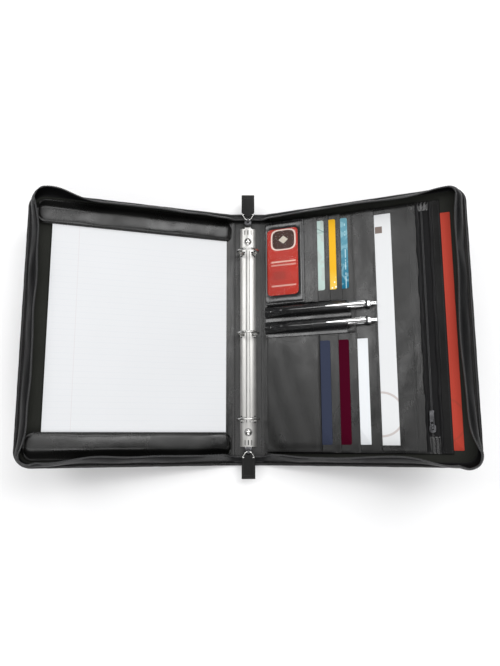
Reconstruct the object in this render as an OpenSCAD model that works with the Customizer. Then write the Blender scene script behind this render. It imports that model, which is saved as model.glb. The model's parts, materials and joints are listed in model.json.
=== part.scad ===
// Zipped leather portfolio case: a three-ring binder spine between two padded covers,
// with a writing pad in the front cover and a card, pen and document organizer in the back cover.
// The case lies open on its spine. Origin: centre of the spine's underside, +Y to the head, +Z up.
// Each cover is drawn in its own frame: u outwards from its hinge, v to the head, w up from the lining.

/* [Covers] */
// Width of a cover, from its hinge axis to its outer edge
cover_w = 255; // [250:1:262]
// Height of a cover, tail to head
cover_h = 330; // [324:1:340]
// Outer corner radius of a cover
corner_r = 20; // [16:1:24]
// How far the front cover is raised at rest, in degrees
front_raise = 17.5; // [0:0.5:30]
// How far the back cover is raised at rest, in degrees
back_raise = 23; // [0:0.5:30]
// Half the distance between the two cover hinges
hinge_x = 22; // [22:0.5:25]

/* [Cover layers] */
// Thickness of the outer leather
skin_t = 1.2; // [1:0.1:1.4]
// Thickness of the foam under the leather
foam_t = 1; // [0.8:0.1:1.2]
// Thickness of the stiffening board
board_t = 2.2; // [2:0.1:2.6]
// Thickness of the lining cloth
lining_t = 0.6; // [0.5:0.1:0.8]
// Diameter of the piped edge binding
piping_d = 4.4; // [4:0.1:4.6]

/* [Zipped wall] */
// Height of the soft wall above the lining
gusset_h = 17; // [15:0.5:17]
// How far the wall's top leans inwards
gusset_lean = 8; // [6:0.5:8]
// Thickness of the wall
gusset_t = 1.4; // [1:0.1:1.6]
// Distance from the cover's edge to the foot of the wall
gusset_inset = 4.6; // [4.5:0.1:5]
// Diameter of the zip coil
coil_d = 2.4; // [2:0.1:2.4]

/* [Ring mechanism] */
// Outer diameter of a ring
ring_od = 28.8; // [26:0.2:29]
// Diameter of the ring wire
ring_wire = 2.8; // [2.4:0.1:3]
// Distance between neighbouring rings
ring_pitch = 108; // [80:1:108]
// Width of the metal housing
housing_w = 20.6; // [20:0.2:21]
// Height of the housing's crown
housing_h = 6.5; // [6.5:0.1:7]
// Length of the housing
housing_l = 284; // [280:1:286]

/* [Writing pad] */
// Width of the pad
pad_w = 216; // [200:1:216]
// Height of the pad
pad_h = 280; // [250:1:290]
// Thickness of the stack of sheets
pad_t = 3.2; // [2:0.1:3.4]
// Height of the visible face of each padded flap
flap_h = 30; // [24:1:34]

/* [Organizer] */
// Width of the organizer panel
organizer_w = 224.5; // [216:0.5:226]
// Outer edge of the letter pocket
letter_edge = 146; // [140:0.1:148]
// Outer edge of the lowest card slot sheet
slot_edge = 103.8; // [101:0.1:105]
// Step from one card slot edge to the next
slot_step = 14.9; // [14:0.1:15]
// Outer edge of the lowest booklet pocket
booklet_edge = 120.6; // [118:0.1:122]
// Step from one booklet pocket edge to the next
booklet_step = 23; // [21:0.1:23.2]
// Radius of a pen barrel
pen_r = 4.4; // [4:0.1:4.5]
// Distance from the hinge line to a pen's tip
pen_tip = 8.5; // [6:0.5:10]

/* [Hidden] */
$fn = 48;

// Covers
half_h = cover_h / 2;
hinge_z = skin_t + foam_t + board_t + lining_t;  // axis level: the top face of the lining
skin_w = -hinge_z;                               // underside of a cover, below its lining
foam_w = skin_w + skin_t;
board_w = foam_w + foam_t;
lining_w = board_w + board_t;
fold_r = 2.3;                                    // leather fold round a hinge axis
fold_gap = 0.4;                                  // play round the fold
edge_gap = 0.3;                                  // play between a cover's edge and the spine's
layer_edge = fold_r + fold_gap;                  // where the upper layers start

// Spine
spine_half_w = hinge_x - edge_gap;
spine_layer_half = hinge_x - fold_r - fold_gap;
fold_half_l = half_h - 5;
spine_board_t = 3;
spine_lining_t = hinge_z - skin_t - spine_board_t;

// Zipped wall
wall_start = 16;             // the covers' walls start clear of the spine's sliders
zip_tape_t = 0.6;
zip_tape_h = 1.5;
zip_d = gusset_inset + gusset_lean + gusset_t / 2;  // the zip's distance from the cover's edge
spine_wall_h = 7;
spine_wall_lean = 3.9;
spine_wall_half = spine_layer_half - 0.6;

// Zip sliders and pulls
head_pull_y = half_h - 13;   // a pull's hinge on its slider
tail_pull_y = half_h - 17;
pull_z = 17.8;
head_droop = -4;             // degrees below level, at rest
tail_droop = 8;
loop_wire = 1.5;
loop_side_wire = 1.8;
loop_l = 7;
loop_neck = 3.2;
loop_half = 7.6;
tab_l = 29;
tab_half = 8.4;
tab_t = 2.8;
tab_start = 4;
pin_play = 0.2;
slider_z = 12.2;
slider_top = 15.6;

// Rings
housing_t = 0.8;
housing_side = 3;                                 // height of the housing's straight sides
housing_rise = housing_h - housing_side;
crown_r = (pow(housing_w / 2, 2) + pow(housing_rise, 2)) / (2 * housing_rise);
ring_r = (ring_od - ring_wire) / 2;
ring_z = hinge_z + 15.5;                          // height of the rings' centre
ring_foot = 247;                                  // where a half ring ends, in degrees
ring_slot_in = 4;
ring_slot_w = 5;
ring_slot_z = 1.8;
blade_z = hinge_z + 1.4;
blade_t = 0.84;
blade_out = 9;                                    // the blade's pivot edge
blade_gap = 0.3;
blade_half_l = 119;
rivet_y = 124;
rivet_r = 2;
rivet_head_r = 4;
rivet_head_h = 1.8;
rivet_foot_t = 0.6;
rivet_play = 0.1;
lever_z = hinge_z + 2.9;
lever_t = 1.2;
lever_in = housing_l / 2 - 3.4;
lever_out = housing_l / 2 + 7;
lever_half_in = 4;
lever_pin_r = 0.9;
lever_half_out = 3;

// Pad
pad_u = 9.4;
pad_w0 = 0.9;                                     // underside of the cardboard backing
backing_t = 0.8;
pad_panel_w = 60;
pad_panel_t = 0.8;
flap_u0 = 3;
flap_u1 = 239;
flap_edge = half_h - 11;
flap_wall = 3;
flap_under = 5.5;
flap_top = 8;
flap_corner = 12;

// Organizer levels, upwards from the lining: each sheet lies on the one below it
sheet_t = 0.5;
panel_v = 150;
panel_top = 1.3;
panel_sheet = 0.7;
letter_v = 149.5;
letter_top = panel_top + 1;
base_top = letter_top + sheet_t;
card_gap = 0.5;
card_level = card_gap + sheet_t;
booklet_gap = 0.7;
booklet_level = booklet_gap + sheet_t;
id_gap = 0.55;
id_sheet = 0.6;
id_floor = base_top + 3 * card_level;
id_top = id_floor + id_gap + id_sheet;
play = 0.1;                                       // between a card and the sheet under it

zip_slot_u = [197, 209];
zip_slot_v = [-131, 139];
folder_u = [15, 235.5];
folder_v = [-146, 133];
paper_t = 0.3;
letterhead_u = [26, 166.1];
letterhead_v = [-140.3, 141.2];
card_v = [51, 142.5];
card_w = 52;
card_t = 0.3;
card_show = 8.6;                                  // how much of a card its slot leaves in view
block_v = [-5, 149];
block_u1 = 120;
slot_floor_v = 38;
booklet_v = [-139.5, -13];
booklet_t = 0.5;
booklet_show = 12.6;
booklet_w = 81;
pocket_v = [-149, -5.2];
id_edge = 54.4;
id_card_u = [4.8, 52.3];
id_win_u = [6.4, 48.4];
id_win_v = [49.7, 138.5];
id_corner = 5;

// Pocket zip
pocket_coil_r = 0.9;
pocket_coil_lift = 0.5;                           // the coil stands on its tape
pocket_slider_v = -121;
pocket_pull_l = 20;
slider_lift = 1.35;                               // the slider's underside, above the panel

// Pens
pen_v = [28.5, 8];
sleeve_r = pen_r + 0.5;
sleeve_t = 0.8;
pen_w = base_top + play + sleeve_r;
sleeve_u = [26, 114];
pen_len = 131;
pen_cone = 15;
band_u = [123, 127.5];
band_proud = 0.4;
clip_u = 77;
clip_t = 1;
clip_w = sleeve_r + sleeve_t + 0.3;
button_r = 2.4;
button_out = 7;
button_in = 4;
button_bore = 7;

black_leather = "#1d1d1f";
dark_lining = "#33342f";
nickel = "#d4d6d8";

// Frames of the two covers
module front_wing() {
    translate([-hinge_x, 0, hinge_z]) rotate([0, front_raise, 0]) mirror([1, 0, 0]) children();
}

module back_wing() {
    translate([hinge_x, 0, hinge_z]) rotate([0, -back_raise, 0]) children();
}

// A block from a low corner to a high corner
module block(low, high) {
    translate(low) cube([high[0] - low[0], high[1] - low[1], high[2] - low[2]]);
}

// A cover layer with round outer corners, drawn in by `inset` from the cover's edge
module layer(u0, inset, w0, t) {
    r = corner_r - inset;
    u1 = cover_w - inset;
    v1 = half_h - inset;
    translate([0, 0, w0]) linear_extrude(t) {
        translate([u0, -v1]) square([u1 - u0 - r, 2 * v1]);
        translate([u0, r - v1]) square([u1 - u0, 2 * (v1 - r)]);
        for (side = [-1, 1]) translate([u1 - r, side * (v1 - r)]) circle(r);
    }
}

// Sweeps a profile round a cover's three free edges: its x is the inset, its y the height w
module rim(u0) {
    run = cover_w - corner_r - u0;
    side_run = cover_h - 2 * corner_r;
    translate([u0, half_h, 0]) rotate([90, 0, 90]) linear_extrude(run) mirror([1, 0]) children();
    translate([u0, -half_h, 0]) rotate([90, 0, 90]) linear_extrude(run) children();
    translate([cover_w, side_run / 2, 0]) rotate([90, 0, 0])
        linear_extrude(side_run) mirror([1, 0]) children();
    for (side = [0, 1]) mirror([0, side, 0]) translate([cover_w - corner_r, side_run / 2, 0])
        rotate_extrude(angle = 90) translate([corner_r, 0]) mirror([1, 0]) children();
}

module cover_skin() {
    layer(edge_gap, piping_d, skin_w, skin_t);
}

module cover_foam() {
    layer(layer_edge, piping_d, foam_w, foam_t);
}

module cover_board() {
    layer(layer_edge, piping_d, board_w, board_t);
}

module cover_lining() {
    layer(layer_edge, piping_d, lining_w, lining_t);
}

module cover_piping() {
    rim(edge_gap + 0.2) translate([piping_d / 2, skin_w + piping_d / 2]) circle(d = piping_d);
}

module cover_gusset() {
    rim(wall_start) polygon([
        [gusset_inset, 0],
        [gusset_inset + gusset_t, 0],
        [gusset_inset + gusset_t + gusset_lean, gusset_h],
        [gusset_inset + gusset_lean, gusset_h]
    ]);
}

module cover_zip() {
    rim(wall_start) {
        translate([zip_d - zip_tape_t / 2, gusset_h]) square([zip_tape_t, zip_tape_h]);
        translate([zip_d, gusset_h + zip_tape_h + coil_d / 6]) circle(d = coil_d);
    }
}

// Spine
module spine_skin() {
    color(black_leather)
        block([-spine_half_w, -half_h, 0], [spine_half_w, half_h, skin_t]);
}

module spine_board() {
    color("#8a8478") difference() {
        block([-spine_layer_half, -fold_half_l, skin_t],
              [spine_layer_half, fold_half_l, skin_t + spine_board_t]);
        for (side = [-1, 1]) translate([0, side * rivet_y, 0]) {
            cylinder(r = rivet_r + rivet_play, h = 2 * hinge_z);
            translate([0, 0, skin_t - 1])
                cylinder(r = rivet_head_r + rivet_play, h = rivet_foot_t + 1 + rivet_play);
        }
    }
}

module spine_lining() {
    color(black_leather) difference() {
        block([-spine_layer_half, -fold_half_l, hinge_z - spine_lining_t],
              [spine_layer_half, fold_half_l, hinge_z]);
        for (side = [-1, 1]) translate([0, side * rivet_y, 0])
            cylinder(r = rivet_r + rivet_play, h = 2 * hinge_z);
    }
}

module hinge_folds() {
    color(black_leather) for (side = [-1, 1])
        translate([side * hinge_x, fold_half_l, hinge_z]) rotate([90, 0, 0])
            cylinder(r = fold_r, h = 2 * fold_half_l);
}

module spine_gussets() {
    foot = half_h - gusset_inset;
    top = foot - spine_wall_lean;
    color(black_leather) for (side = [0, 1]) mirror([0, side, 0]) {
        pull_y = side == 0 ? head_pull_y : tail_pull_y;
        translate([-spine_wall_half, 0, hinge_z]) rotate([90, 0, 90])
            linear_extrude(2 * spine_wall_half) polygon([
                [foot, 0], [foot - gusset_t, 0], [top - gusset_t, spine_wall_h], [top, spine_wall_h]
            ]);
        block([-6, pull_y - 4, slider_z - 1], [6, top - gusset_t, slider_z - 0.2]);
    }
}

module zip_slider(pull_y) {
    color("#2a2a2c") difference() {
        union() {
            block([-4.5, pull_y - 6, slider_z], [4.5, pull_y + 1.8, slider_top]);
            block([-2, pull_y - 1.8, slider_top], [2, pull_y + 1.8, pull_z + 1.7]);
        }
        translate([-5, pull_y, pull_z]) rotate([0, 90, 0])
            cylinder(d = loop_wire + 2 * pin_play, h = 10);
    }
}

// A straight round wire that runs `over` past both its ends
module wire(a, b, d, over) {
    run = b - a;
    way = run / norm(run);
    translate(a - over * way) rotate([0, acos(way[2]), atan2(way[1], way[0])])
        cylinder(d = d, h = norm(run) + 2 * over);
}

// Places a pull drawn from its hinge along +Y
module at_pull(pull_y, droop) {
    translate([0, pull_y, pull_z]) rotate([-droop, 0, 0]) children();
}

module pull_loop(pull_y, droop) {
    color(nickel) at_pull(pull_y, droop) {
        wire([-loop_neck, 0, 0], [loop_neck, 0, 0], loop_wire, 0);
        wire([-loop_half, loop_l, 0], [loop_half, loop_l, 0], loop_wire, 0);
        for (side = [-1, 1])
            wire([side * loop_neck, 0, 0], [side * loop_half, loop_l, 0], loop_side_wire, 0.8);
    }
}

module pull_tab(pull_y, droop) {
    shoulder = tab_start + 6;
    neck = 3.8;
    end = tab_start + tab_l;
    color(black_leather) at_pull(pull_y, droop) difference() {
        translate([0, 0, -tab_t / 2]) linear_extrude(tab_t) polygon([
            [-neck, tab_start], [neck, tab_start], [tab_half, shoulder],
            [tab_half, end], [-tab_half, end], [-tab_half, shoulder]
        ]);
        translate([-loop_half, loop_l, 0]) rotate([0, 90, 0])
            cylinder(d = loop_wire + 2 * pin_play, h = 2 * loop_half);
    }
}

// Ring mechanism
module housing_profile(inset) {
    intersection() {
        translate([0, housing_h - crown_r]) circle(crown_r - inset, $fn = 96);
        translate([inset - housing_w / 2, 0]) square([housing_w - 2 * inset, housing_h]);
    }
}

module ring_housing() {
    color(nickel) difference() {
        translate([0, housing_l / 2, hinge_z]) rotate([90, 0, 0]) linear_extrude(housing_l)
            housing_profile(0);
        translate([0, housing_l / 2 + 1, hinge_z - 1]) rotate([90, 0, 0])
            linear_extrude(housing_l + 2) union() {
                translate([0, 1]) housing_profile(housing_t);
                translate([housing_t - housing_w / 2, 0]) square([housing_w - 2 * housing_t, 2]);
            }
        for (row = [-1:1], side = [-1, 1])
            translate([side > 0 ? ring_slot_in : -housing_w, row * ring_pitch - ring_slot_w / 2,
                       hinge_z + ring_slot_z])
                cube([housing_w - ring_slot_in, ring_slot_w, housing_h]);
        for (side = [-1, 1]) translate([0, side * rivet_y, 0])
            cylinder(r = rivet_r + rivet_play, h = 4 * hinge_z);
    }
}

module housing_rivets() {
    dome_r = (pow(rivet_head_r, 2) + pow(rivet_head_h, 2)) / (2 * rivet_head_h);
    crown_z = hinge_z + housing_h;
    color(nickel) for (side = [-1, 1]) translate([0, side * rivet_y, 0]) {
        translate([0, 0, skin_t]) cylinder(r = rivet_head_r, h = rivet_foot_t);
        translate([0, 0, skin_t]) cylinder(r = rivet_r, h = crown_z - skin_t);
        intersection() {
            translate([0, 0, crown_z + rivet_head_h - dome_r]) sphere(dome_r);
            translate([0, 0, crown_z]) cylinder(r = 2 * rivet_head_r, h = rivet_head_h);
        }
    }
}

module blade() {
    color(nickel) {
        block([blade_gap, -blade_half_l, blade_z], [blade_out, blade_half_l, blade_z + blade_t]);
        translate([blade_out, blade_half_l, blade_z + blade_t / 2]) rotate([90, 0, 0])
            cylinder(d = blade_t, h = 2 * blade_half_l);
    }
}

module half_rings() {
    color(nickel) for (row = [-1:1])
        translate([0, row * ring_pitch, ring_z]) rotate([90, 0, 0])
            rotate([0, 0, 90]) rotate_extrude(angle = ring_foot - 90)
                translate([ring_r, 0]) circle(d = ring_wire);
}

module ring_lever() {
    color(nickel) {
        translate([0, 0, lever_z]) linear_extrude(lever_t) polygon([
            [-lever_half_in, lever_in], [lever_half_in, lever_in],
            [lever_half_in, housing_l / 2 + 2], [lever_half_out, lever_out],
            [-lever_half_out, lever_out], [-lever_half_in, housing_l / 2 + 2]
        ]);
        translate([-lever_half_in, housing_l / 2 - 2, lever_z + lever_t / 2])
            rotate([0, 90, 0]) cylinder(r = lever_pin_r, h = 2 * lever_half_in);
    }
}

// Writing pad and its flaps
module pad_panel() {
    edge = flap_edge - flap_h - 1;
    color(black_leather) front_wing()
        block([layer_edge, -edge, 0], [pad_panel_w, edge, pad_panel_t]);
}

module pad_flap() {
    v0 = flap_edge - flap_h;
    color(black_leather) front_wing() difference() {
        linear_extrude(flap_top) {
            translate([flap_u0, v0]) square([flap_u1 - flap_corner - flap_u0, flap_h]);
            translate([flap_u0, v0 + flap_corner])
                square([flap_u1 - flap_u0, flap_h - flap_corner]);
            translate([flap_u1 - flap_corner, v0 + flap_corner]) circle(flap_corner);
        }
        block([flap_u0 + flap_wall, v0 - 1, -1],
              [flap_u1 + 1, flap_edge - flap_wall, flap_under]);
    }
}

module pad_backing() {
    color("#b9ab90") front_wing()
        block([pad_u, -pad_h / 2, pad_w0], [pad_u + pad_w, pad_h / 2, pad_w0 + backing_t]);
}

module pad_sheets() {
    w0 = pad_w0 + backing_t;
    color("#ebecee") front_wing()
        block([pad_u, -pad_h / 2, w0], [pad_u + pad_w, pad_h / 2, w0 + pad_t]);
}

// Organizer
module folder() {
    color("#bf4a36") back_wing()
        block([folder_u[0], folder_v[0], play], [folder_u[1], folder_v[1], play + 0.4]);
}

module organizer_panel() {
    color(black_leather) back_wing() difference() {
        block([layer_edge, -panel_v, 0], [organizer_w, panel_v, panel_top]);
        block([5, 3 - panel_v, -1], [organizer_w + 1, panel_v - 3, panel_top - panel_sheet]);
        block([zip_slot_u[0], zip_slot_v[0], 0], [zip_slot_u[1], zip_slot_v[1], panel_top + 1]);
    }
}

module pocket_zip() {
    mid = (zip_slot_u[0] + zip_slot_u[1]) / 2;
    v0 = zip_slot_v[0] + 0.3;
    v1 = zip_slot_v[1] - 0.3;
    w0 = panel_top - panel_sheet + 0.05;
    color("#222224") back_wing() {
        block([zip_slot_u[0] + 0.1, v0, w0], [zip_slot_u[1] - 0.1, v1, w0 + sheet_t]);
        translate([mid, v1, w0 + sheet_t + pocket_coil_lift]) rotate([90, 0, 0])
            cylinder(r = pocket_coil_r, h = v1 - v0);
    }
}

module at_pocket_slider() {
    translate([(zip_slot_u[0] + zip_slot_u[1]) / 2, pocket_slider_v, panel_top + slider_lift])
        children();
}

module pocket_slider() {
    color("#2a2a2c") back_wing() at_pocket_slider() difference() {
        union() {
            block([-4, -5, 0], [4, 5, 1.6]);
            block([-1.2, -1.6, 1.6], [1.2, 1.6, 4]);
        }
        translate([-3, 0, 2.6]) rotate([0, 90, 0]) cylinder(r = 0.7, h = 6);
    }
}

module pocket_pull() {
    color("#3a3a3c") back_wing() at_pocket_slider() translate([0, 0, 2.6]) {
        translate([-2.6, 0, 0]) rotate([0, 90, 0]) cylinder(r = 0.5, h = 5.2);
        for (side = [-1, 1]) translate([side * 2.1, 0, 0])
            block([-0.5, -0.5, -0.5], [0.5, 6, 0.5]);
        block([-2.6, 5, -0.5], [2.6, pocket_pull_l, 0.5]);
    }
}

module letterhead() {
    color("#f4f7fa") back_wing()
        block([letterhead_u[0], letterhead_v[0], panel_top + play],
              [letterhead_u[1], letterhead_v[1], panel_top + play + paper_t]);
}

// A pocket sheet that is open towards its outer edge, standing on the sheet below it
module pocket_sheet(u1, v, w0, gap, t, cavity_u, cavity_v) {
    difference() {
        block([layer_edge, v[0], w0], [u1, v[1], w0 + gap + t]);
        block([cavity_u, cavity_v[0], w0 - 1], [u1 + 1, cavity_v[1], w0 + gap]);
    }
}

module letter_pocket() {
    color(black_leather) back_wing() pocket_sheet(
        letter_edge, [-letter_v, letter_v], panel_top, card_gap, sheet_t, 20,
        [letterhead_v[0] - 2, letterhead_v[1] + 2]);
}

// Index 0 is the lowest slot, which holds the blue card
function card_edge(i) = slot_edge - i * slot_step;
function card_floor(i) = base_top + i * card_level;

module card_slots() {
    color(black_leather) back_wing() {
        block([layer_edge, block_v[0], letter_top], [block_u1, block_v[1], base_top]);
        for (i = [0:2])
            pocket_sheet(card_edge(i), [slot_floor_v, block_v[1]], card_floor(i), card_gap, sheet_t,
                         card_edge(i) + card_show - card_w - 1, [card_v[0] - 2, card_v[1] + 2]);
        difference() {
            pocket_sheet(id_edge, [slot_floor_v, block_v[1]], id_floor, id_gap, id_sheet,
                         id_card_u[0] - 0.2, [id_win_v[0] - 2.5, id_win_v[1] + 2.5]);
            id_opening(0);
        }
    }
}

module id_opening(inset) {
    u0 = id_win_u[0] + inset;
    u1 = id_win_u[1] - inset;
    v0 = id_win_v[0] + inset;
    v1 = id_win_v[1] - inset;
    r = id_corner;
    translate([0, 0, id_floor]) linear_extrude(2) {
        translate([u0, v0 + r]) square([u1 - u0, v1 - v0 - 2 * r]);
        translate([u0 + r, v0]) square([u1 - u0 - 2 * r, v1 - v0]);
        for (u = [u0 + r, u1 - r], v = [v0 + r, v1 - r]) translate([u, v]) circle(r);
    }
}

module id_window() {
    color([0.9, 0.95, 1, 0.35]) back_wing() intersection() {
        id_opening(0.05);
        block([0, 0, id_floor + id_gap], [id_edge, half_h, id_floor + id_gap + 0.3]);
    }
}

module id_card() {
    color("#c03a2b") back_wing()
        block([id_card_u[0], id_win_v[0] - 1.5, id_floor + play],
              [id_card_u[1], id_win_v[1] + 1.5, id_floor + play + 0.4]);
}

module slot_card(i) {
    u1 = card_edge(i) + card_show;
    back_wing() block([u1 - card_w, card_v[0], card_floor(i) + play],
                      [u1, card_v[1], card_floor(i) + play + card_t]);
}

// Index 0 is the lowest booklet pocket, which holds the ticket
function pocket_edge(i) = booklet_edge - i * booklet_step;
function pocket_floor(i) = letter_top + i * booklet_level;

module booklet_pockets() {
    color(black_leather) back_wing() for (i = [0:2])
        pocket_sheet(pocket_edge(i), pocket_v, pocket_floor(i), booklet_gap, sheet_t,
                     max(layer_edge + 0.4, pocket_edge(i) + booklet_show - booklet_w - 1),
                     [booklet_v[0] - 2, booklet_v[1] + 2]);
}

module booklet(i) {
    u1 = pocket_edge(i) + booklet_show;
    back_wing() block([u1 - booklet_w, booklet_v[0], pocket_floor(i) + play],
                      [u1, booklet_v[1], pocket_floor(i) + play + booklet_t]);
}

// Pens: drawn from the tip along +X, on their own axis
module at_pen(i) {
    back_wing() translate([pen_tip, pen_v[i], pen_w]) children();
}

module pen_sleeves() {
    color(black_leather) back_wing() for (v = pen_v) difference() {
        intersection() {
            translate([sleeve_u[0], v, pen_w]) rotate([0, 90, 0])
                cylinder(r = sleeve_r + sleeve_t, h = sleeve_u[1] - sleeve_u[0]);
            block([0, v - 10, base_top], [block_u1, v + 10, 4 * pen_w]);
        }
        translate([sleeve_u[0] - 1, v, pen_w]) rotate([0, 90, 0])
            cylinder(r = sleeve_r, h = sleeve_u[1] - sleeve_u[0] + 2);
    }
}

module pen(i) {
    clip_end = band_u[0] + 2;
    color("#1b1b1d") at_pen(i) difference() {
        rotate([0, 90, 0]) rotate_extrude() polygon([
            [0, 0], [0.6, 0], [1.1, 1.5], [pen_r, pen_cone], [pen_r, band_u[0]],
            [pen_r + band_proud, band_u[0]], [pen_r + band_proud, band_u[1]],
            [pen_r, band_u[1]], [pen_r, pen_len], [0, pen_len]
        ]);
        translate([pen_len - button_bore, 0, 0]) rotate([0, 90, 0])
            cylinder(r = button_r + pin_play, h = button_bore + 1);
    }
    color(nickel) at_pen(i) {
        block([band_u[0], -1.2, pen_r], [clip_end, 1.2, clip_w + clip_t]);
        translate([0, 0, clip_w]) linear_extrude(clip_t) polygon([
            [clip_u, 0], [clip_u + 6, 1.8], [clip_u + 16, 2.4], [clip_end, 1.6],
            [clip_end, -1.6], [clip_u + 16, -2.4], [clip_u + 6, -1.8]
        ]);
    }
}

module pen_button(i) {
    color(nickel) at_pen(i) translate([pen_len - button_in, 0, 0]) rotate([0, 90, 0])
        cylinder(r = button_r, h = button_in + button_out);
}

spine_skin();
spine_board();
spine_lining();
hinge_folds();
spine_gussets();
zip_slider(head_pull_y);  // zip_slider_top
mirror([0, 1, 0]) zip_slider(tail_pull_y);  // zip_slider_bottom
pull_loop(head_pull_y, head_droop);  // pull_loop_top
pull_tab(head_pull_y, head_droop);  // pull_tab_top
mirror([0, 1, 0]) pull_loop(tail_pull_y, tail_droop);  // pull_loop_bottom
mirror([0, 1, 0]) pull_tab(tail_pull_y, tail_droop);  // pull_tab_bottom
ring_housing();
housing_rivets();
mirror([1, 0, 0]) blade();  // front_blade
half_rings();  // front_half_rings
blade();  // back_blade
mirror([1, 0, 0]) half_rings();  // back_half_rings
ring_lever();  // ring_lever_top
mirror([0, 1, 0]) ring_lever();  // ring_lever_bottom
color(black_leather) front_wing() cover_skin();  // front_skin
color("#c8c4b8") front_wing() cover_foam();  // front_foam
color("#8a8478") front_wing() cover_board();  // front_board
color(dark_lining) front_wing() cover_lining();  // front_lining
color(black_leather) front_wing() cover_piping();  // front_piping
color(black_leather) front_wing() cover_gusset();  // front_gusset
color("#141415") front_wing() cover_zip();  // front_zip
pad_panel();
pad_flap();  // pad_flap_top
mirror([0, 1, 0]) pad_flap();  // pad_flap_bottom
pad_backing();
pad_sheets();
color(black_leather) back_wing() cover_skin();  // back_skin
color("#c8c4b8") back_wing() cover_foam();  // back_foam
color("#8a8478") back_wing() cover_board();  // back_board
color(dark_lining) back_wing() cover_lining();  // back_lining
color(black_leather) back_wing() cover_piping();  // back_piping
color(black_leather) back_wing() cover_gusset();  // back_gusset
color("#141415") back_wing() cover_zip();  // back_zip
folder();
organizer_panel();
pocket_zip();
pocket_slider();
pocket_pull();
letterhead();
letter_pocket();
card_slots();
id_window();
id_card();
color("#cfe0d8") slot_card(2);  // card_green
color("#f8c12a") slot_card(1);  // card_yellow
color("#3fa0b8") slot_card(0);  // card_blue
booklet_pockets();
color("#3d4159") booklet(2);  // booklet_navy
color("#4b001c") booklet(1);  // booklet_maroon
color("#f5f8fb") booklet(0);  // ticket
pen_sleeves();
pen(0);  // pen_upper
pen(1);  // pen_lower
pen_button(0);  // pen_button_upper
pen_button(1);  // pen_button_lower
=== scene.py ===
"""Looks for an open zipped portfolio case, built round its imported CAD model.

Lengths are millimetres. Each cover has its own frame: u runs outwards from its hinge,
v to the head and w up from its lining. The spine's frame is the model's own x, y and z.
"""
import json
import math

import bmesh
import bpy
import numpy as np
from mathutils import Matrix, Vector


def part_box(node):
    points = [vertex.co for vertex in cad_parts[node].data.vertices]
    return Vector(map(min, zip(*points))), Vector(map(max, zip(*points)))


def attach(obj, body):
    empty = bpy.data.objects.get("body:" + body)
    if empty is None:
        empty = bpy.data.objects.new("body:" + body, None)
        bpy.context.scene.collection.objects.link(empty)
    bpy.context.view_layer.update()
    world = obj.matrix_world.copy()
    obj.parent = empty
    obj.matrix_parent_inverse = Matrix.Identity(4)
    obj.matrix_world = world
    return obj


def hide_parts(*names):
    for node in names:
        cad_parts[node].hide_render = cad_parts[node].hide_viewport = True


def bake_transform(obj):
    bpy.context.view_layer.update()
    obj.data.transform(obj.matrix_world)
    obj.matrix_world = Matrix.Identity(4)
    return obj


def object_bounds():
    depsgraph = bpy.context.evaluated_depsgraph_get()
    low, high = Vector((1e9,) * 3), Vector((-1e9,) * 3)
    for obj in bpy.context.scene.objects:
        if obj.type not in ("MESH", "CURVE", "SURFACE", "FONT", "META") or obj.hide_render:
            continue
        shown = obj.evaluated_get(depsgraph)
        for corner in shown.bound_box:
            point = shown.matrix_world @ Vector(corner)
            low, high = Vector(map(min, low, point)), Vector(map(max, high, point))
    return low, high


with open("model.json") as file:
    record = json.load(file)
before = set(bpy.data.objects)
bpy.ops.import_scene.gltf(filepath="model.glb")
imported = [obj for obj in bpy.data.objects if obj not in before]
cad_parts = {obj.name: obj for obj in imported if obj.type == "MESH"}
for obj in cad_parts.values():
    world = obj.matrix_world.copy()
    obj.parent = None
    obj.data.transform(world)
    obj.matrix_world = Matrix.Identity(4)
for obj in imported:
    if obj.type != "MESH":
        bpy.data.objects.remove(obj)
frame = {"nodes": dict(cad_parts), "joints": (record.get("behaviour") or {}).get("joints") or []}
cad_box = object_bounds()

MM = 0.001
JOINTS = {joint["name"]: joint for joint in frame["joints"]}


# ---------------------------------------------------------------- frames

class Wing:
    """A cover's own frame, read from its hinge in the record."""

    def __init__(self, name, side):
        hinge = JOINTS[name + "_cover_hinge"]
        self.name = name
        self.body = name + "_cover"
        self.side = side
        self.pivot = np.array(hinge["pos_m"], float) / MM
        self.angle = math.radians(-hinge["range_deg"][0])

    def turned(self, points, angle):
        u, v, w = np.asarray(points, float).T
        cos, sin = np.cos(angle), np.sin(angle)
        x = self.pivot[0] + self.side * (u * cos - w * sin)
        return np.stack([x, v, self.pivot[2] + u * sin + w * cos], 1)

    def place(self, points):
        return self.turned(points, self.angle)

    def bend(self, points, reach):
        """Places points that cross the hinge: they turn with the cover within `reach` of it."""
        share = np.clip((np.asarray(points, float)[:, 0] + reach) / (2 * reach), 0, 1)
        return self.turned(points, self.angle * share * share * (3 - 2 * share))

    def box(self, node):
        """Lowest and highest corner of a CAD node in this frame."""
        mesh = frame["nodes"][node].data
        co = np.array([v.co for v in mesh.vertices], float) / MM - self.pivot
        cos, sin = math.cos(self.angle), math.sin(self.angle)
        u = self.side * co[:, 0] * cos + co[:, 2] * sin
        w = -self.side * co[:, 0] * sin + co[:, 2] * cos
        local = np.stack([u, co[:, 1], w], 1)
        return local.min(0), local.max(0)


class Spine:
    """The spine's own frame, which is the model's."""

    body = "spine"

    def place(self, points):
        return np.asarray(points, float)

    def box(self, node):
        low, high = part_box(node)
        return np.array(low) / MM, np.array(high) / MM


FRONT = Wing("front", -1)
BACK = Wing("back", 1)
SPINE = Spine()

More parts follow.
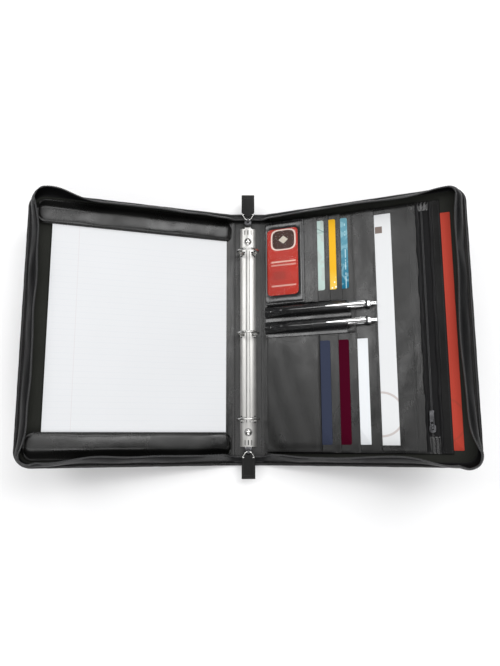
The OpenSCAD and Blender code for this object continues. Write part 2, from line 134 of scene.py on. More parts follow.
# Measures shared by several pieces
COVER_W = FRONT.box("front_piping")[1][0]
HALF_H = FRONT.box("front_piping")[1][1]
HINGE_X = -FRONT.pivot[0]
HINGE_Z = FRONT.pivot[2]
CORNER_R = 20.0
PIPING_D = 4.4
WALL_START, _, _ = FRONT.box("front_gusset")[0]
WALL_H = FRONT.box("front_gusset")[1][2]
WALL_FOOT = 4.6
WALL_T = 1.3
WALL_LEAN = 8.0
HINGE_REACH = 6.0
END_REACH = 14.0
SPINE_WALL_H = 5.9
SPINE_WALL_LEAN = 5.5
CARD_SHOW = 8.6
BOOKLET_SHOW = 12.6
PEN_AXIS_W = 7.8
PEN_R = 4.4


# ---------------------------------------------------------------- materials

class Shader:
    """A material's node tree, with short calls for the nodes that it needs."""

    def __init__(self, name, **constants):
        self.material = bpy.data.materials.new(name)
        self.material.use_nodes = True
        self.tree = self.material.node_tree
        self.surface = self.tree.nodes["Principled BSDF"]
        for socket, value in constants.items():
            self.surface.inputs[socket.replace("_", " ")].default_value = value
        coords = self.tree.nodes.new("ShaderNodeTexCoord")
        self.where = coords.outputs["Object"]

    def node(self, kind, inputs=(), **settings):
        made = self.tree.nodes.new("ShaderNode" + kind)
        for key, value in settings.items():
            setattr(made, key, value)
        for socket, value in dict(inputs).items():
            target = made.inputs[socket]
            if isinstance(value, bpy.types.NodeSocket):
                self.tree.links.new(value, target)
            else:
                target.default_value = value
        return made

    def link(self, value, socket):
        self.tree.links.new(value, self.surface.inputs[socket])

    def math(self, operation, a, b=0.0, c=0.0):
        return self.node("Math", {0: a, 1: b, 2: c}, operation=operation).outputs[0]

    def noise(self, scale, detail=3.0, where=None, roughness=0.5, distortion=0.0):
        return self.node("TexNoise", {
            "Vector": where or self.where, "Scale": scale, "Detail": detail,
            "Roughness": roughness, "Distortion": distortion}).outputs["Fac"]

    def cells(self, scale, feature="F1", where=None):
        return self.node("TexVoronoi", {"Vector": where or self.where, "Scale": scale},
                         feature=feature).outputs["Distance"]

    def stretch(self, scale):
        return self.node("Mapping", {"Vector": self.where, "Scale": scale}).outputs[0]

    def ramp(self, value, low, high, out_low=0.0, out_high=1.0):
        return self.node("MapRange", {
            "Value": value, "From Min": low, "From Max": high,
            "To Min": out_low, "To Max": out_high}).outputs["Result"]

    def mix(self, share, a, b):
        made = self.node("Mix", {"Factor": share}, data_type="RGBA")
        for socket, value in ((made.inputs[6], a), (made.inputs[7], b)):
            if isinstance(value, bpy.types.NodeSocket):
                self.tree.links.new(value, socket)
            else:
                socket.default_value = (*value, 1.0)
        return made.outputs[2]

    def bump(self, height, strength, distance):
        made = self.node("Bump", {"Height": height, "Strength": strength, "Distance": distance})
        self.link(made.outputs[0], "Normal")

    def local(self, wing):
        """Coordinates in a cover's frame, in metres, as separate u, v and w."""
        found = self.node("Mapping", {
            "Vector": self.where,
            "Location": tuple(wing.pivot * MM),
            "Rotation": (0.0, -wing.side * wing.angle, 0.0),
            "Scale": (float(wing.side), 1.0, 1.0)}, vector_type="TEXTURE")
        return self.node("SeparateXYZ", {0: found.outputs[0]}).outputs

    def band(self, value, centre, half, soft):
        """1 within `half` of `centre`, and falls to 0 over `soft`."""
        away = self.math("ABSOLUTE", self.math("SUBTRACT", value, centre))
        return self.ramp(away, half, half + soft, 1.0, 0.0)


def leather(name, colour, rough, grain=820.0, depth=0.00009, streak=0.35, coat=0.0, gloss=0.5):
    """Grained leather: pebbled cells with painted shade between them, pores, rubbed edges and slow
    changes of sheen.
    """
    m = Shader(name, Specular_IOR_Level=gloss, Coat_Weight=coat, Coat_Roughness=0.22)
    wobble = m.node("TexNoise", {"Vector": m.where, "Scale": grain * 0.35}).outputs["Color"]
    bent = m.node("VectorMath", {0: wobble, 1: (0.0012, 0.0012, 0.0012)},
                  operation="MULTIPLY").outputs[0]
    where = m.node("VectorMath", {0: m.where, 1: bent}, operation="ADD").outputs[0]
    pebble = m.ramp(m.cells(grain, "DISTANCE_TO_EDGE", where), 0.0, 0.28)
    pores = m.noise(grain * 2.6, 4.0)
    crease = m.noise(130.0, 4.0, m.stretch((1.0, 0.35, 1.0)), 0.5, 0.2)
    relief = m.math("MULTIPLY_ADD", pores, 0.3, pebble)
    relief = m.math("MULTIPLY_ADD", crease, 2.6, relief)
    worn = m.ramp(m.node("NewGeometry").outputs["Pointiness"], 0.515, 0.6)
    tone = m.ramp(m.noise(16.0, 4.0, roughness=0.6), 0.35, 0.7)
    dark = tuple(c * (1 - streak) for c in colour)
    light = tuple(c * (1 + streak) + 0.002 for c in colour)
    body = m.mix(tone, dark, light)
    # Painted shade: the colour darkens towards the pebbles' edges, in the valleys of the grain's
    # bump.
    body = m.mix(m.ramp(pebble, 0.0, 0.5, 0.35, 0.0), body, tuple(c * 0.4 for c in colour))
    body = m.mix(m.math("MULTIPLY", worn, 0.5), body, tuple(c * 2.2 + 0.02 for c in colour))
    m.link(body, "Base Color")
    sheen = m.noise(19.0, 5.0, m.stretch((1.0, 0.6, 1.0)), 0.6)
    m.link(m.ramp(sheen, 0.34, 0.66, rough - 0.09, rough + 0.2), "Roughness")
    m.bump(relief, 0.55, depth)
    return m.material


def cloth(name, colour, pitch=0.00055, sheen=0.12):
    """Plain-woven lining cloth with slightly uneven threads."""
    m = Shader(name, Specular_IOR_Level=0.2, Sheen_Weight=sheen, Sheen_Roughness=0.5)
    turn = 2 * math.pi / pitch
    axes = m.node("SeparateXYZ", {0: m.where}).outputs
    warp = m.math("SINE", m.math("MULTIPLY", axes[0], turn))
    weft = m.math("SINE", m.math("MULTIPLY", axes[1], turn))
    over = m.math("MULTIPLY", warp, weft)
    slub = m.noise(700.0, 3.0, m.stretch((1.0, 0.06, 1.0)))
    weave = m.math("MULTIPLY_ADD", slub, 0.9, m.ramp(over, -1.0, 1.0))
    tone = m.noise(12.0, 4.0)
    base = m.mix(m.ramp(tone, 0.3, 0.7), tuple(c * 0.8 for c in colour),
                 tuple(c * 1.2 for c in colour))
    # Painted shade: the colour darkens where the weave dips, in the hollows between the threads.
    base = m.mix(m.ramp(weave, 0.2, 1.3, 0.5, 0.0), base, tuple(c * 0.45 for c in colour))
    m.link(base, "Base Color")
    m.link(m.ramp(slub, 0.3, 0.7, 0.78, 0.92), "Roughness")
    m.bump(weave, 0.6, 0.00012)
    return m.material


def metal(name, colour, rough, brushed=0.0):
    """Plated metal with faint brushing, handling marks and uneven gloss."""
    m = Shader(name, Metallic=1.0, Specular_IOR_Level=0.5)
    hair = m.noise(900.0, 4.0, m.stretch((1.0, 0.02, 1.0)))
    cloudy = m.noise(60.0, 4.0, roughness=0.6)
    spots = m.ramp(m.noise(420.0, 3.0), 0.62, 0.78)
    base = m.mix(m.ramp(cloudy, 0.35, 0.7), tuple(c * 0.93 for c in colour), colour)
    base = m.mix(m.math("MULTIPLY", spots, 0.2), base, tuple(c * 0.6 for c in colour))
    m.link(base, "Base Color")
    gloss = m.math("MULTIPLY_ADD", hair, brushed, m.ramp(cloudy, 0.3, 0.7, rough, rough + 0.08))
    m.link(gloss, "Roughness")
    m.bump(m.math("MULTIPLY_ADD", hair, 1.0, spots), 0.08, 0.00002)
    return m.material


def plastic(name, colour, rough, scale=500.0):
    """Moulded plastic with a fine texture and slight colour drift."""
    m = Shader(name, Specular_IOR_Level=0.5)
    drift = m.noise(30.0, 4.0)
    fine = m.noise(scale, 4.0, roughness=0.6)
    m.link(m.mix(m.ramp(drift, 0.3, 0.7), tuple(c * 0.85 for c in colour),
                 tuple(c * 1.15 + 0.002 for c in colour)), "Base Color")
    m.link(m.ramp(fine, 0.3, 0.7, rough - 0.05, rough + 0.08), "Roughness")
    m.bump(fine, 0.15, 0.00006)
    return m.material


def fibre(name, colour, rough=0.7, depth=0.00003, fleck=0.15):
    """Paper or board: matted fibres with faint flecks."""
    m = Shader(name, Specular_IOR_Level=0.3)
    fibres = m.noise(1500.0, 5.0, m.stretch((1.0, 0.4, 1.0)), 0.65)
    flecks = m.ramp(m.noise(520.0, 2.0), 0.66, 0.74)
    tone = m.noise(9.0, 3.0)
    base = m.mix(m.ramp(tone, 0.3, 0.7), tuple(c * 0.975 for c in colour), colour)
    base = m.mix(m.math("MULTIPLY", flecks, fleck), base, tuple(c * 0.7 for c in colour))
    m.base = base
    m.link(base, "Base Color")
    m.link(m.ramp(fibres, 0.3, 0.7, rough - 0.06, rough + 0.08), "Roughness")
    m.bump(fibres, 0.2, depth)
    return m


def ruled_paper(wing, pad_high):
    """Writing paper with feint lines across and one margin line."""
    m = fibre("pad_paper", (0.665, 0.675, 0.69), 0.7, fleck=0.04)
    u, v, _ = m.local(wing)
    pitch = 0.0071
    top = pad_high[1] * MM - 0.034
    steps = m.math("DIVIDE", m.math("SUBTRACT", top, v), pitch)
    phase = m.math("FRACT", steps)
    line = m.band(phase, 0.5, 0.022, 0.02)
    below = m.ramp(steps, -0.2, 0.0)
    feint = m.math("MULTIPLY", m.math("MULTIPLY", line, below), 0.17)
    ink = m.math("MULTIPLY", feint, m.ramp(m.noise(1200.0), 0.2, 0.6, 0.5, 1.0))
    base = m.mix(ink, m.base, (0.42, 0.47, 0.54))
    margin = m.band(u, pad_high[0] * MM - 0.031, 0.00022, 0.0002)
    base = m.mix(m.math("MULTIPLY", margin, 0.42), base, (0.55, 0.49, 0.5))
    m.link(base, "Base Color")
    return m.material


def printed(name, wing, base_colour, draw, rough=0.5, gloss=0.12):
    """Card with a printed pattern: draw(shader, base, u, v) returns the finished colour."""
    m = fibre(name, base_colour, rough, fleck=0.03)
    m.surface.inputs["Specular IOR Level"].default_value = gloss
    u, v, _ = m.local(wing)
    m.link(draw(m, m.base, u, v), "Base Color")
    return m.material


RING_MARK_R = 0.0255


def id_print(m, base, u, v):
    """A brown round-cornered panel with a cream lozenge, some thin cream bars and a dark disc."""
    low, high = BACK.box("id_card")
    mid_u, top = (low[0] + high[0]) / 2 * MM, high[1] * MM
    du = m.math("DIVIDE", m.math("SUBTRACT", u, mid_u), 0.015)
    dv = m.math("DIVIDE", m.math("SUBTRACT", v, top - 0.0165), 0.0125)
    reach = m.math("ADD", m.math("POWER", m.math("ABSOLUTE", du), 4.0),
                   m.math("POWER", m.math("ABSOLUTE", dv), 4.0))
    panel = m.ramp(reach, 0.92, 1.05, 1.0, 0.0)
    turned = m.math("ADD", m.math("ABSOLUTE", du), m.math("ABSOLUTE", dv))
    lozenge = m.ramp(turned, 0.42, 0.45, 1.0, 0.0)
    rim = m.math("MULTIPLY", m.ramp(reach, 0.95, 1.1), m.ramp(reach, 1.55, 1.75, 1.0, 0.0))
    base = m.mix(panel, base, (0.05, 0.018, 0.012))
    base = m.mix(lozenge, base, (0.62, 0.56, 0.47))
    base = m.mix(m.math("MULTIPLY", rim, 0.85), base, (0.86, 0.8, 0.72))
    inside = m.band(u, mid_u, 0.0165, 0.0002)
    for offset, strength in ((0.046, 0.75), (0.0505, 0.45), (0.078, 0.6)):
        bar = m.math("MULTIPLY", m.band(v, top - offset, 0.0009, 0.0002), inside)
        base = m.mix(m.math("MULTIPLY", bar, strength), base, (0.83, 0.6, 0.5))
    disc = m.math("MULTIPLY", m.band(v, top - 0.0645, 0.0052, 0.0003),
                  m.band(u, mid_u - 0.006, 0.0085, 0.0003))
    return m.mix(m.math("MULTIPLY", disc, 0.35), base, (0.12, 0.02, 0.012))


def ring_mark(m, u, v, centre, half):
    """1 on a thin ring round a centre given in millimetres."""
    du = m.math("SUBTRACT", u, centre[0] * MM)
    dv = m.math("SUBTRACT", v, centre[1] * MM)
    far = m.math("SQRT", m.math("ADD", m.math("MULTIPLY", du, du), m.math("MULTIPLY", dv, dv)))
    return m.band(far, RING_MARK_R, half, 0.0003)


def letterhead_print(m, base, u, v):
    """One large pale ring near the foot and a short brown block at the head."""
    low, high = BACK.box("letterhead")
    ring = ring_mark(m, u, v, (high[0] - 20.0, low[1] + 36.0), 0.0011)
    base = m.mix(m.math("MULTIPLY", ring, 0.75), base, (0.45, 0.39, 0.37))
    block = m.math("MULTIPLY", m.band(v, (high[1] - 20.0) * MM, 0.0042, 0.0002),
                   m.band(u, (high[0] - 15.0) * MM, 0.0042, 0.0002))
    return m.mix(m.math("MULTIPLY", block, 0.85), base, (0.1, 0.055, 0.035))


def mint_print(m, base, u, v):
    head = BACK.box("card_green")[1][1] * MM
    wave = m.noise(70.0, 2.0, distortion=1.5)
    base = m.mix(m.ramp(wave, 0.46, 0.5, 0.0, 0.5), base, (0.45, 0.62, 0.58))
    bar = m.band(v, head - 0.016, 0.0011, 0.0003)
    rising = m.math("ADD", v, m.math("MULTIPLY", u, 0.6))
    slope = m.band(rising, head + 0.034, 0.0006, 0.0003)
    base = m.mix(m.math("MULTIPLY", bar, 0.35), base, (0.15, 0.25, 0.24))
    return m.mix(m.math("MULTIPLY", slope, 0.6), base, (0.07, 0.12, 0.12))


def yellow_print(m, base, u, v):
    low = BACK.box("card_yellow")[0][1] * MM
    spots = m.cells(190.0)
    foot = m.ramp(v, low + 0.002, low + 0.026, 1.0, 0.0)
    base = m.mix(m.math("MULTIPLY", foot, 0.4), base, (0.95, 0.75, 0.2))
    dots = m.math("MULTIPLY", m.ramp(spots, 0.2, 0.24, 1.0, 0.0), m.ramp(foot, 0.1, 0.3))
    return m.mix(dots, base, (0.93, 0.9, 0.8))


def blue_print(m, base, u, v):
    low, high = BACK.box("card_blue")
    down = m.ramp(v, low[1] * MM, high[1] * MM)
    base = m.mix(down, (0.003, 0.125, 0.215), (0.14, 0.335, 0.41))
    weave = m.noise(55.0, 3.0, distortion=2.0)
    base = m.mix(m.ramp(weave, 0.5, 0.56, 0.0, 0.25), base, (0.5, 0.75, 0.8))
    line = m.band(u, (high[0] - 3.2) * MM, 0.0004, 0.0002)
    dash = m.ramp(m.noise(260.0, 0.0, m.stretch((0.02, 1.0, 0.02))), 0.5, 0.52)
    return m.mix(m.math("MULTIPLY", m.math("MULTIPLY", line, dash), 0.6), base, (0.7, 0.9, 0.93))


def ticket_print(m, base, u, v):
    high_u = BACK.box("ticket")[1][0]
    edge = m.band(u, (high_u - 2.4) * MM, 0.00018, 0.00015)
    return m.mix(m.math("MULTIPLY", edge, 0.35), base, (0.6, 0.66, 0.72))


def folder_print(m, base, u, v):
    low, high = BACK.box("folder")
    line = m.band(u, (high[0] - 9.0) * MM, 0.0002, 0.0002)
    ring = ring_mark(m, u, v, (high[0] - 22.0, low[1] + 34.0), 0.0010)
    base = m.mix(m.math("MULTIPLY", line, 0.3), base, (0.25, 0.05, 0.03))
    return m.mix(m.math("MULTIPLY", ring, 0.35), base, (0.25, 0.05, 0.03))


def cover_board(name, colour):
    """A booklet's cloth-grained cover."""
    m = fibre(name, colour, 0.75, depth=0.00007, fleck=0.1)
    m.surface.inputs["Specular IOR Level"].default_value = 0.04
    grain = m.cells(1300.0)
    m.link(m.mix(m.ramp(grain, 0.1, 0.5, 0.0, 0.25), m.base, tuple(c * 1.4 for c in colour)),
           "Base Color")
    m.bump(grain, 0.35, 0.00008)
    return m.material


def clear_film(name):
    """Thin clear film: nearly all of it is see-through, with a rippled gloss."""
    m = Shader(name, Base_Color=(0.03, 0.03, 0.032, 1.0), Specular_IOR_Level=0.6)
    ripple = m.noise(26.0, 3.0)
    m.link(m.ramp(ripple, 0.3, 0.7, 0.04, 0.12), "Roughness")
    m.link(m.ramp(ripple, 0.3, 0.7, 0.03, 0.07), "Alpha")
    m.bump(ripple, 0.12, 0.0006)
    return m.material


MATERIALS = {
    "black_leather": leather("black_leather", (0.007, 0.007, 0.0075), 0.32, 760.0, 0.00012,
                             gloss=0.34),
    "inner_leather": leather("inner_leather", (0.007, 0.007, 0.0067), 0.26, 950.0, 0.00006,
                             gloss=0.52),
    "matt_leather": leather("matt_leather", (0.006, 0.006, 0.006), 0.5, 950.0, 0.00006,
                            gloss=0.14),
    "gloss_leather": leather("gloss_leather", (0.005, 0.005, 0.0055), 0.2, 1000.0, 0.00004,
                             coat=0.35, gloss=0.6),
    "pull_leather": leather("pull_leather", (0.006, 0.006, 0.006), 0.55, 600.0, 0.0002,
                            gloss=0.22),
    "wall_leather": leather("wall_leather", (0.0035, 0.0035, 0.004), 0.34, 820.0, 0.00008,
                            gloss=0.13),
    "thread": plastic("thread", (0.02, 0.02, 0.021), 0.45, 2500.0),
    "board": fibre("board", (0.30, 0.26, 0.2), 0.85, 0.0001, 0.4).material,
    "lining_cloth": cloth("lining_cloth", (0.019, 0.020, 0.0165)),
    "zip_tape": cloth("zip_tape", (0.006, 0.006, 0.0065), 0.0008, 0.04),
    "zip_coil": plastic("zip_coil", (0.016, 0.016, 0.017), 0.35),
    "black_metal": metal("black_metal", (0.09, 0.09, 0.095), 0.3, 0.1),
    "nickel": metal("nickel", (0.56, 0.555, 0.54), 0.16, 0.1),
    "housing_plate": metal("housing_plate", (0.49, 0.485, 0.47), 0.34, 0.03),
    "chrome": metal("chrome", (0.95, 0.95, 0.95), 0.06, 0.02),
    # Dark fill for the housing's slots: painted shade for their openings.
    "slot_painted_shade": plastic("slot_painted_shade", (0.008, 0.008, 0.009), 0.6),
    "pad_board": fibre("pad_board", (0.45, 0.37, 0.26), 0.85, 0.00008, 0.4).material,
    "pad_paper": ruled_paper(FRONT, FRONT.box("pad_sheets")[1]),
    "folder_card": printed("folder_card", BACK, (0.47, 0.052, 0.032), folder_print, 0.6),
    "letter_paper": printed("letter_paper", BACK, (0.68, 0.69, 0.70), letterhead_print, 0.7),
    "window_film": clear_film("window_film"),
    "id_card_print": printed("id_card_print", BACK, (0.47, 0.030, 0.017), id_print),
    "green_print": printed("green_print", BACK, (0.43, 0.50, 0.475), mint_print),
    "yellow_print": printed("yellow_print", BACK, (0.76, 0.415, 0.016), yellow_print),
    "blue_print": printed("blue_print", BACK, (0.08, 0.3, 0.4), blue_print),
    "navy_cover": cover_board("navy_cover", (0.029, 0.035, 0.060)),
    "maroon_cover": cover_board("maroon_cover", (0.045, 0.0003, 0.008)),
    "ticket_paper": printed("ticket_paper", BACK, (0.70, 0.72, 0.74), ticket_print, 0.7),
    "pen_black": plastic("pen_black", (0.01, 0.01, 0.011), 0.18, 300.0),
}


# ---------------------------------------------------------------- mesh tools

def piece(name, points, faces, finish, body=None, crease=40.0):
    """A closed mesh from points in millimetres, with its finish, riding a body."""
    mesh = bpy.data.meshes.new(name)
    mesh.from_pydata((np.asarray(points, float) * MM).tolist(), [], faces)
    work = bmesh.new()
    work.from_mesh(mesh)
    bmesh.ops.recalc_face_normals(work, faces=work.faces)
    work.to_mesh(mesh)
    work.free()
    mesh.polygons.foreach_set("use_smooth", [True] * len(mesh.polygons))
    mesh.set_sharp_from_angle(angle=math.radians(crease))
    obj = bpy.data.objects.new(name, mesh)
    bpy.context.scene.collection.objects.link(obj)
    mesh.materials.append(MATERIALS[finish])
    if body:
        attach(obj, body)
    return obj


def smoothstep(t):
    t = np.clip(t, 0.0, 1.0)
    return t * t * (3 - 2 * t)


def bell(x, width):
    return np.exp(-(x / width) ** 2)


def round_in(d, radius):
    """Height share of a rounded edge at distance d inside it: 0 at the edge, 1 past the radius."""
    t = np.clip(np.asarray(d, float) / radius, 0.0, 1.0)
    return np.sqrt(1 - (1 - t) ** 2)


def ripple(a, b, seed, wave_a, wave_b, count=7):
    """Smooth random waves of about unit height over two coordinates."""
    rng = np.random.default_rng(seed)
    total = np.zeros(np.broadcast(a, b).shape)
    for _ in range(count):
        ka, kb = rng.normal(0, 2.2 / wave_a), rng.normal(0, 2.2 / wave_b)
        total = total + np.sin(ka * a + kb * b + rng.uniform(0, 2 * math.pi))
    return total / math.sqrt(count)


def stations(low, high, step, edge):
    """Grid lines from low to high, closer together within `edge` of each end."""
    near = [0.0, 0.12 * edge, 0.4 * edge, edge]
    inner = np.linspace(low + edge, high - edge, max(2, round((high - low) / step)) + 1)
    return np.array([low + d for d in near[:-1]] + list(inner) + [high - d for d in near[-2::-1]])


def two_sided(top, low):
    """Faces and points of a closed sheet between two grids of the same shape."""
    rows, cols = top.shape[:2]
    count = rows * cols
    points = np.concatenate([top.reshape(-1, 3), low.reshape(-1, 3)])
    faces = []
    for i in range(rows - 1):
        for j in range(cols - 1):
            a, b = i * cols + j, i * cols + j + 1
            c, d = (i + 1) * cols + j + 1, (i + 1) * cols + j
            faces.append((a, b, c, d))
            faces.append((count + d, count + c, count + b, count + a))
    border = list(range(cols))
    border += [i * cols + cols - 1 for i in range(1, rows)]
    border += [(rows - 1) * cols + j for j in range(cols - 2, -1, -1)]
    border += [i * cols for i in range(rows - 2, 0, -1)]
    for a, b in zip(border, border[1:] + border[:1]):
        faces.append((b, a, count + a, count + b))
    return points, faces


def plan(us, vs, corner, ends):
    """A grid whose rows close in at the chosen ends, so that its plan has round corners."""
    u, v = np.meshgrid(us, vs, indexing="ij")
    gap = np.full(len(us), np.inf)
    if ends[0]:
        gap = np.minimum(gap, us - us[0])
    if ends[1]:
        gap = np.minimum(gap, us[-1] - us)
    gap = np.clip(gap, 0.0, corner)
    drawn = corner - np.sqrt(np.maximum(corner ** 2 - (corner - gap) ** 2, 0.0))
    middle, half = (vs[0] + vs[-1]) / 2, (vs[-1] - vs[0]) / 2
    v = middle + (v - middle) * ((half - drawn) / half)[:, None]
    return u, v


def edge_distance(u, v, u_span, v_span, corner, ends):
    """Distance inside the outline of a plan with round corners."""
    du0, du1 = u - u_span[0], u_span[1] - u
    dv = np.minimum(v - v_span[0], v_span[1] - v)
    d = np.minimum(np.minimum(du0, du1), dv)
    for du, rounded in ((du0, ends[0]), (du1, ends[1])):
        if rounded and corner > 0:
            inside = (du < corner) & (dv < corner)
            arc = corner - np.hypot(corner - du, corner - dv)
            d = np.where(inside, np.minimum(d, arc), d)
    return np.maximum(d, 0.0)


def slab(name, holder, u_span, v_span, low, top, finish, relief=None, step=3.0, edge=0.7,
         corner=0.0, ends=(True, True), follow=None, body=None):
    """A soft-edged sheet: relief(u, v, d) shapes its face, follow(u, v) lifts both its faces."""
    us = stations(*u_span, step, max(edge, 0.5))
    vs = stations(*v_span, step, max(edge, 0.5))
    if corner > 0:
        near = corner * (1 - np.cos(np.linspace(0, math.pi / 2, 9)))
        extra = [u_span[0] + d for d in near if ends[0]] + [u_span[1] - d for d in near if ends[1]]
        us = np.unique(np.round(np.concatenate([us, extra]), 4))
    u, v = plan(us, vs, corner, ends) if corner > 0 else np.meshgrid(us, vs, indexing="ij")
    d = edge_distance(u, v, u_span, v_span, corner, ends)
    roll = round_in(d, edge)
    face = low + (top - low) * (0.25 + 0.75 * roll)
    under = np.full_like(face, low)
    if relief is not None:
        face = face + relief(u, v, d) * roll
    if follow is not None:
        lift = follow(u, v)
        face, under = face + lift, under + lift
    points, faces = two_sided(np.stack([u, v, face], -1), np.stack([u, v, under], -1))
    return piece(name, holder.place(points), faces, finish, body or holder.body)


def tube(name, rings, finish, body=None, crease=40.0):
    """Skins equal closed rings, already placed, and caps both ends."""
    rings = np.asarray(rings, float)
    count, size = rings.shape[:2]
    faces = []
    for i in range(count - 1):
        for j in range(size):
            k = (j + 1) % size
            faces.append((i * size + j, i * size + k, (i + 1) * size + k, (i + 1) * size + j))
    faces.append(tuple(range(size))[::-1])
    faces.append(tuple((count - 1) * size + j for j in range(size)))
    return piece(name, rings.reshape(-1, 3), faces, finish, body, crease)


def hoop_faces(count, size):
    """Faces of `count` equal rings whose last ring joins the first."""
    faces = []
    for i in range(count):
        n = (i + 1) % count
        for j in range(size):
            k = (j + 1) % size
            faces.append((i * size + j, i * size + k, n * size + k, n * size + j))
    return faces


def circle(radius, count, centre=(0.0, 0.0)):
    turn = np.linspace(0, 2 * math.pi, count, endpoint=False)
    return np.stack([centre[0] + radius * np.cos(turn), centre[1] + radius * np.sin(turn)], 1)


def squircle(count, half_a, half_b, power_a, power_b):
    """A round-cornered outline: the lower the power, the squarer."""
    turn = np.linspace(0, 2 * math.pi, count, endpoint=False)
    return (half_a * np.sign(np.cos(turn)) * np.abs(np.cos(turn)) ** power_a,
            half_b * np.sign(np.sin(turn)) * np.abs(np.sin(turn)) ** power_b)


def rod(name, vs, section, finish):
    """A soft roll on the back cover along v: section(v) is an array of (u, w)."""
    rings = []
    for v in vs:
        outline = section(v)
        rings.append(BACK.place(np.column_stack([outline[:, 0], np.full(len(outline), v),
                                                 outline[:, 1]])))
    return tube(name, rings, finish, "back_cover", 60.0)


def rim_path(start, step=2.5):
    """Points round a cover's three free edges from head to tail, with the way inwards."""
    run = np.linspace(start, COVER_W - CORNER_R, round((COVER_W - CORNER_R - start) / step) + 1)
    side = np.linspace(HALF_H - CORNER_R, CORNER_R - HALF_H, round(2 * HALF_H / step))
    turn = np.linspace(math.pi / 2, 0, 14)[1:-1]
    centre = (COVER_W - CORNER_R, HALF_H - CORNER_R)
    path = [((u, HALF_H), (0, -1)) for u in run]
    for a in turn:
        path.append(((centre[0] + CORNER_R * math.cos(a), centre[1] + CORNER_R * math.sin(a)),
                     (-math.cos(a), -math.sin(a))))
    path += [((COVER_W, v), (-1, 0)) for v in side]
    for a in -turn[::-1]:
        path.append(((centre[0] + CORNER_R * math.cos(a), -centre[1] + CORNER_R * math.sin(a)),
                     (-math.cos(a), -math.sin(a))))
    path += [((u, -HALF_H), (0, 1)) for u in run[::-1]]
    points, inward = (np.array(x, float) for x in zip(*path))
    gone = np.concatenate([[0.0], np.cumsum(np.linalg.norm(np.diff(points, axis=0), axis=1))])
    return points, inward, gone


def sweep(path, profile):
    """Carries profile(s), an array of (inset, w), along a rim path."""
    points, inward, gone = path
    rings = []
    for i, s in enumerate(gone):
        section = profile(s)
        ring = np.empty((len(section), 3))
        ring[:, :2] = points[i] + section[:, :1] * inward[i]
        ring[:, 2] = section[:, 1]
        rings.append(ring)
    return rings


def placed(rings, place):
    return [place(ring) for ring in rings]


class Stitching:
    """Collects stitches along lines, and makes them as one mesh of small thread loops."""

    def __init__(self, name, body):
        self.name, self.body = name, body
        self.points, self.faces = [], []

    def run(self, line, place, pitch=2.8, length=1.9, thick=0.4):
        line = np.asarray(line, float)
        legs = np.linalg.norm(np.diff(line, axis=0), axis=1)
        gone = np.concatenate([[0.0], np.cumsum(legs)])
        for s in np.arange(pitch / 2, gone[-1], pitch):
            k = min(np.searchsorted(gone, s), len(legs)) - 1
            way = (line[k + 1] - line[k]) / max(legs[k], 1e-9)
            middle = line[k] + way * (s - gone[k])
            self._add(middle, way, length, thick, place)

    def _add(self, middle, way, length, thick, place):
        across = np.cross((0.0, 0.0, 1.0), way)
        across /= max(np.linalg.norm(across), 1e-9)
        up = np.cross(way, across)
        base = len(self.points)
        for t, r in ((-0.5, 0.35), (-0.22, 1.0), (0.22, 1.0), (0.5, 0.35)):
            for k in range(6):
                a = k * math.pi / 3
                offset = across * math.cos(a) * thick * 0.5 * r
                offset = offset + up * math.sin(a) * thick * 0.45 * r
                lift = up * thick * 0.25 * (r - 0.5)
                self.points.append(middle + way * length * t + offset + lift)
        self.points[base:] = list(place(np.array(self.points[base:])))
        for ring in range(3):
            for k in range(6):
                a, b = base + ring * 6 + k, base + ring * 6 + (k + 1) % 6
                self.faces.append((a, b, b + 6, a + 6))
        self.faces.append(tuple(base + k for k in range(6)))
        self.faces.append(tuple(base + 18 + k for k in range(6)))

    def make(self):
        piece(self.name, np.array(self.points), self.faces, "thread", self.body)


def plate(name, holder, u_span, v_span, low, top, finish, corner, body):
    """A card or sheet with round corners and softened edges."""
    count = 7
    bevel = min(0.12, (top - low) * 0.3)
    outline = []
    for cu, cv, start in ((u_span[1], v_span[1], 0), (u_span[0], v_span[1], 1),
                          (u_span[0], v_span[0], 2), (u_span[1], v_span[0], 3)):
        su = -1 if start in (0, 3) else 1
        sv = -1 if start in (0, 1) else 1
        for a in np.linspace(start * math.pi / 2, (start + 1) * math.pi / 2, count):
            outline.append((cu + su * corner + corner * math.cos(a),
                            cv + sv * corner + corner * math.sin(a)))
    outline = np.array(outline)
    centre = outline.mean(0)
    rings = []
    for inset, w in ((bevel, low), (0.0, low + bevel), (0.0, top - bevel), (bevel, top)):
        shrink = 1 - 2 * inset / np.array([u_span[1] - u_span[0], v_span[1] - v_span[0]])
        flat = centre + (outline - centre) * shrink
        rings.append(holder.place(np.column_stack([flat, np.full(len(flat), w)])))
    return tube(name, rings, finish, body)


# ---------------------------------------------------------------- camera, light and floor

def aim(obj, target):
    way = Vector(target) - obj.location
    obj.rotation_euler = way.to_track_quat("-Z", "Y").to_euler()


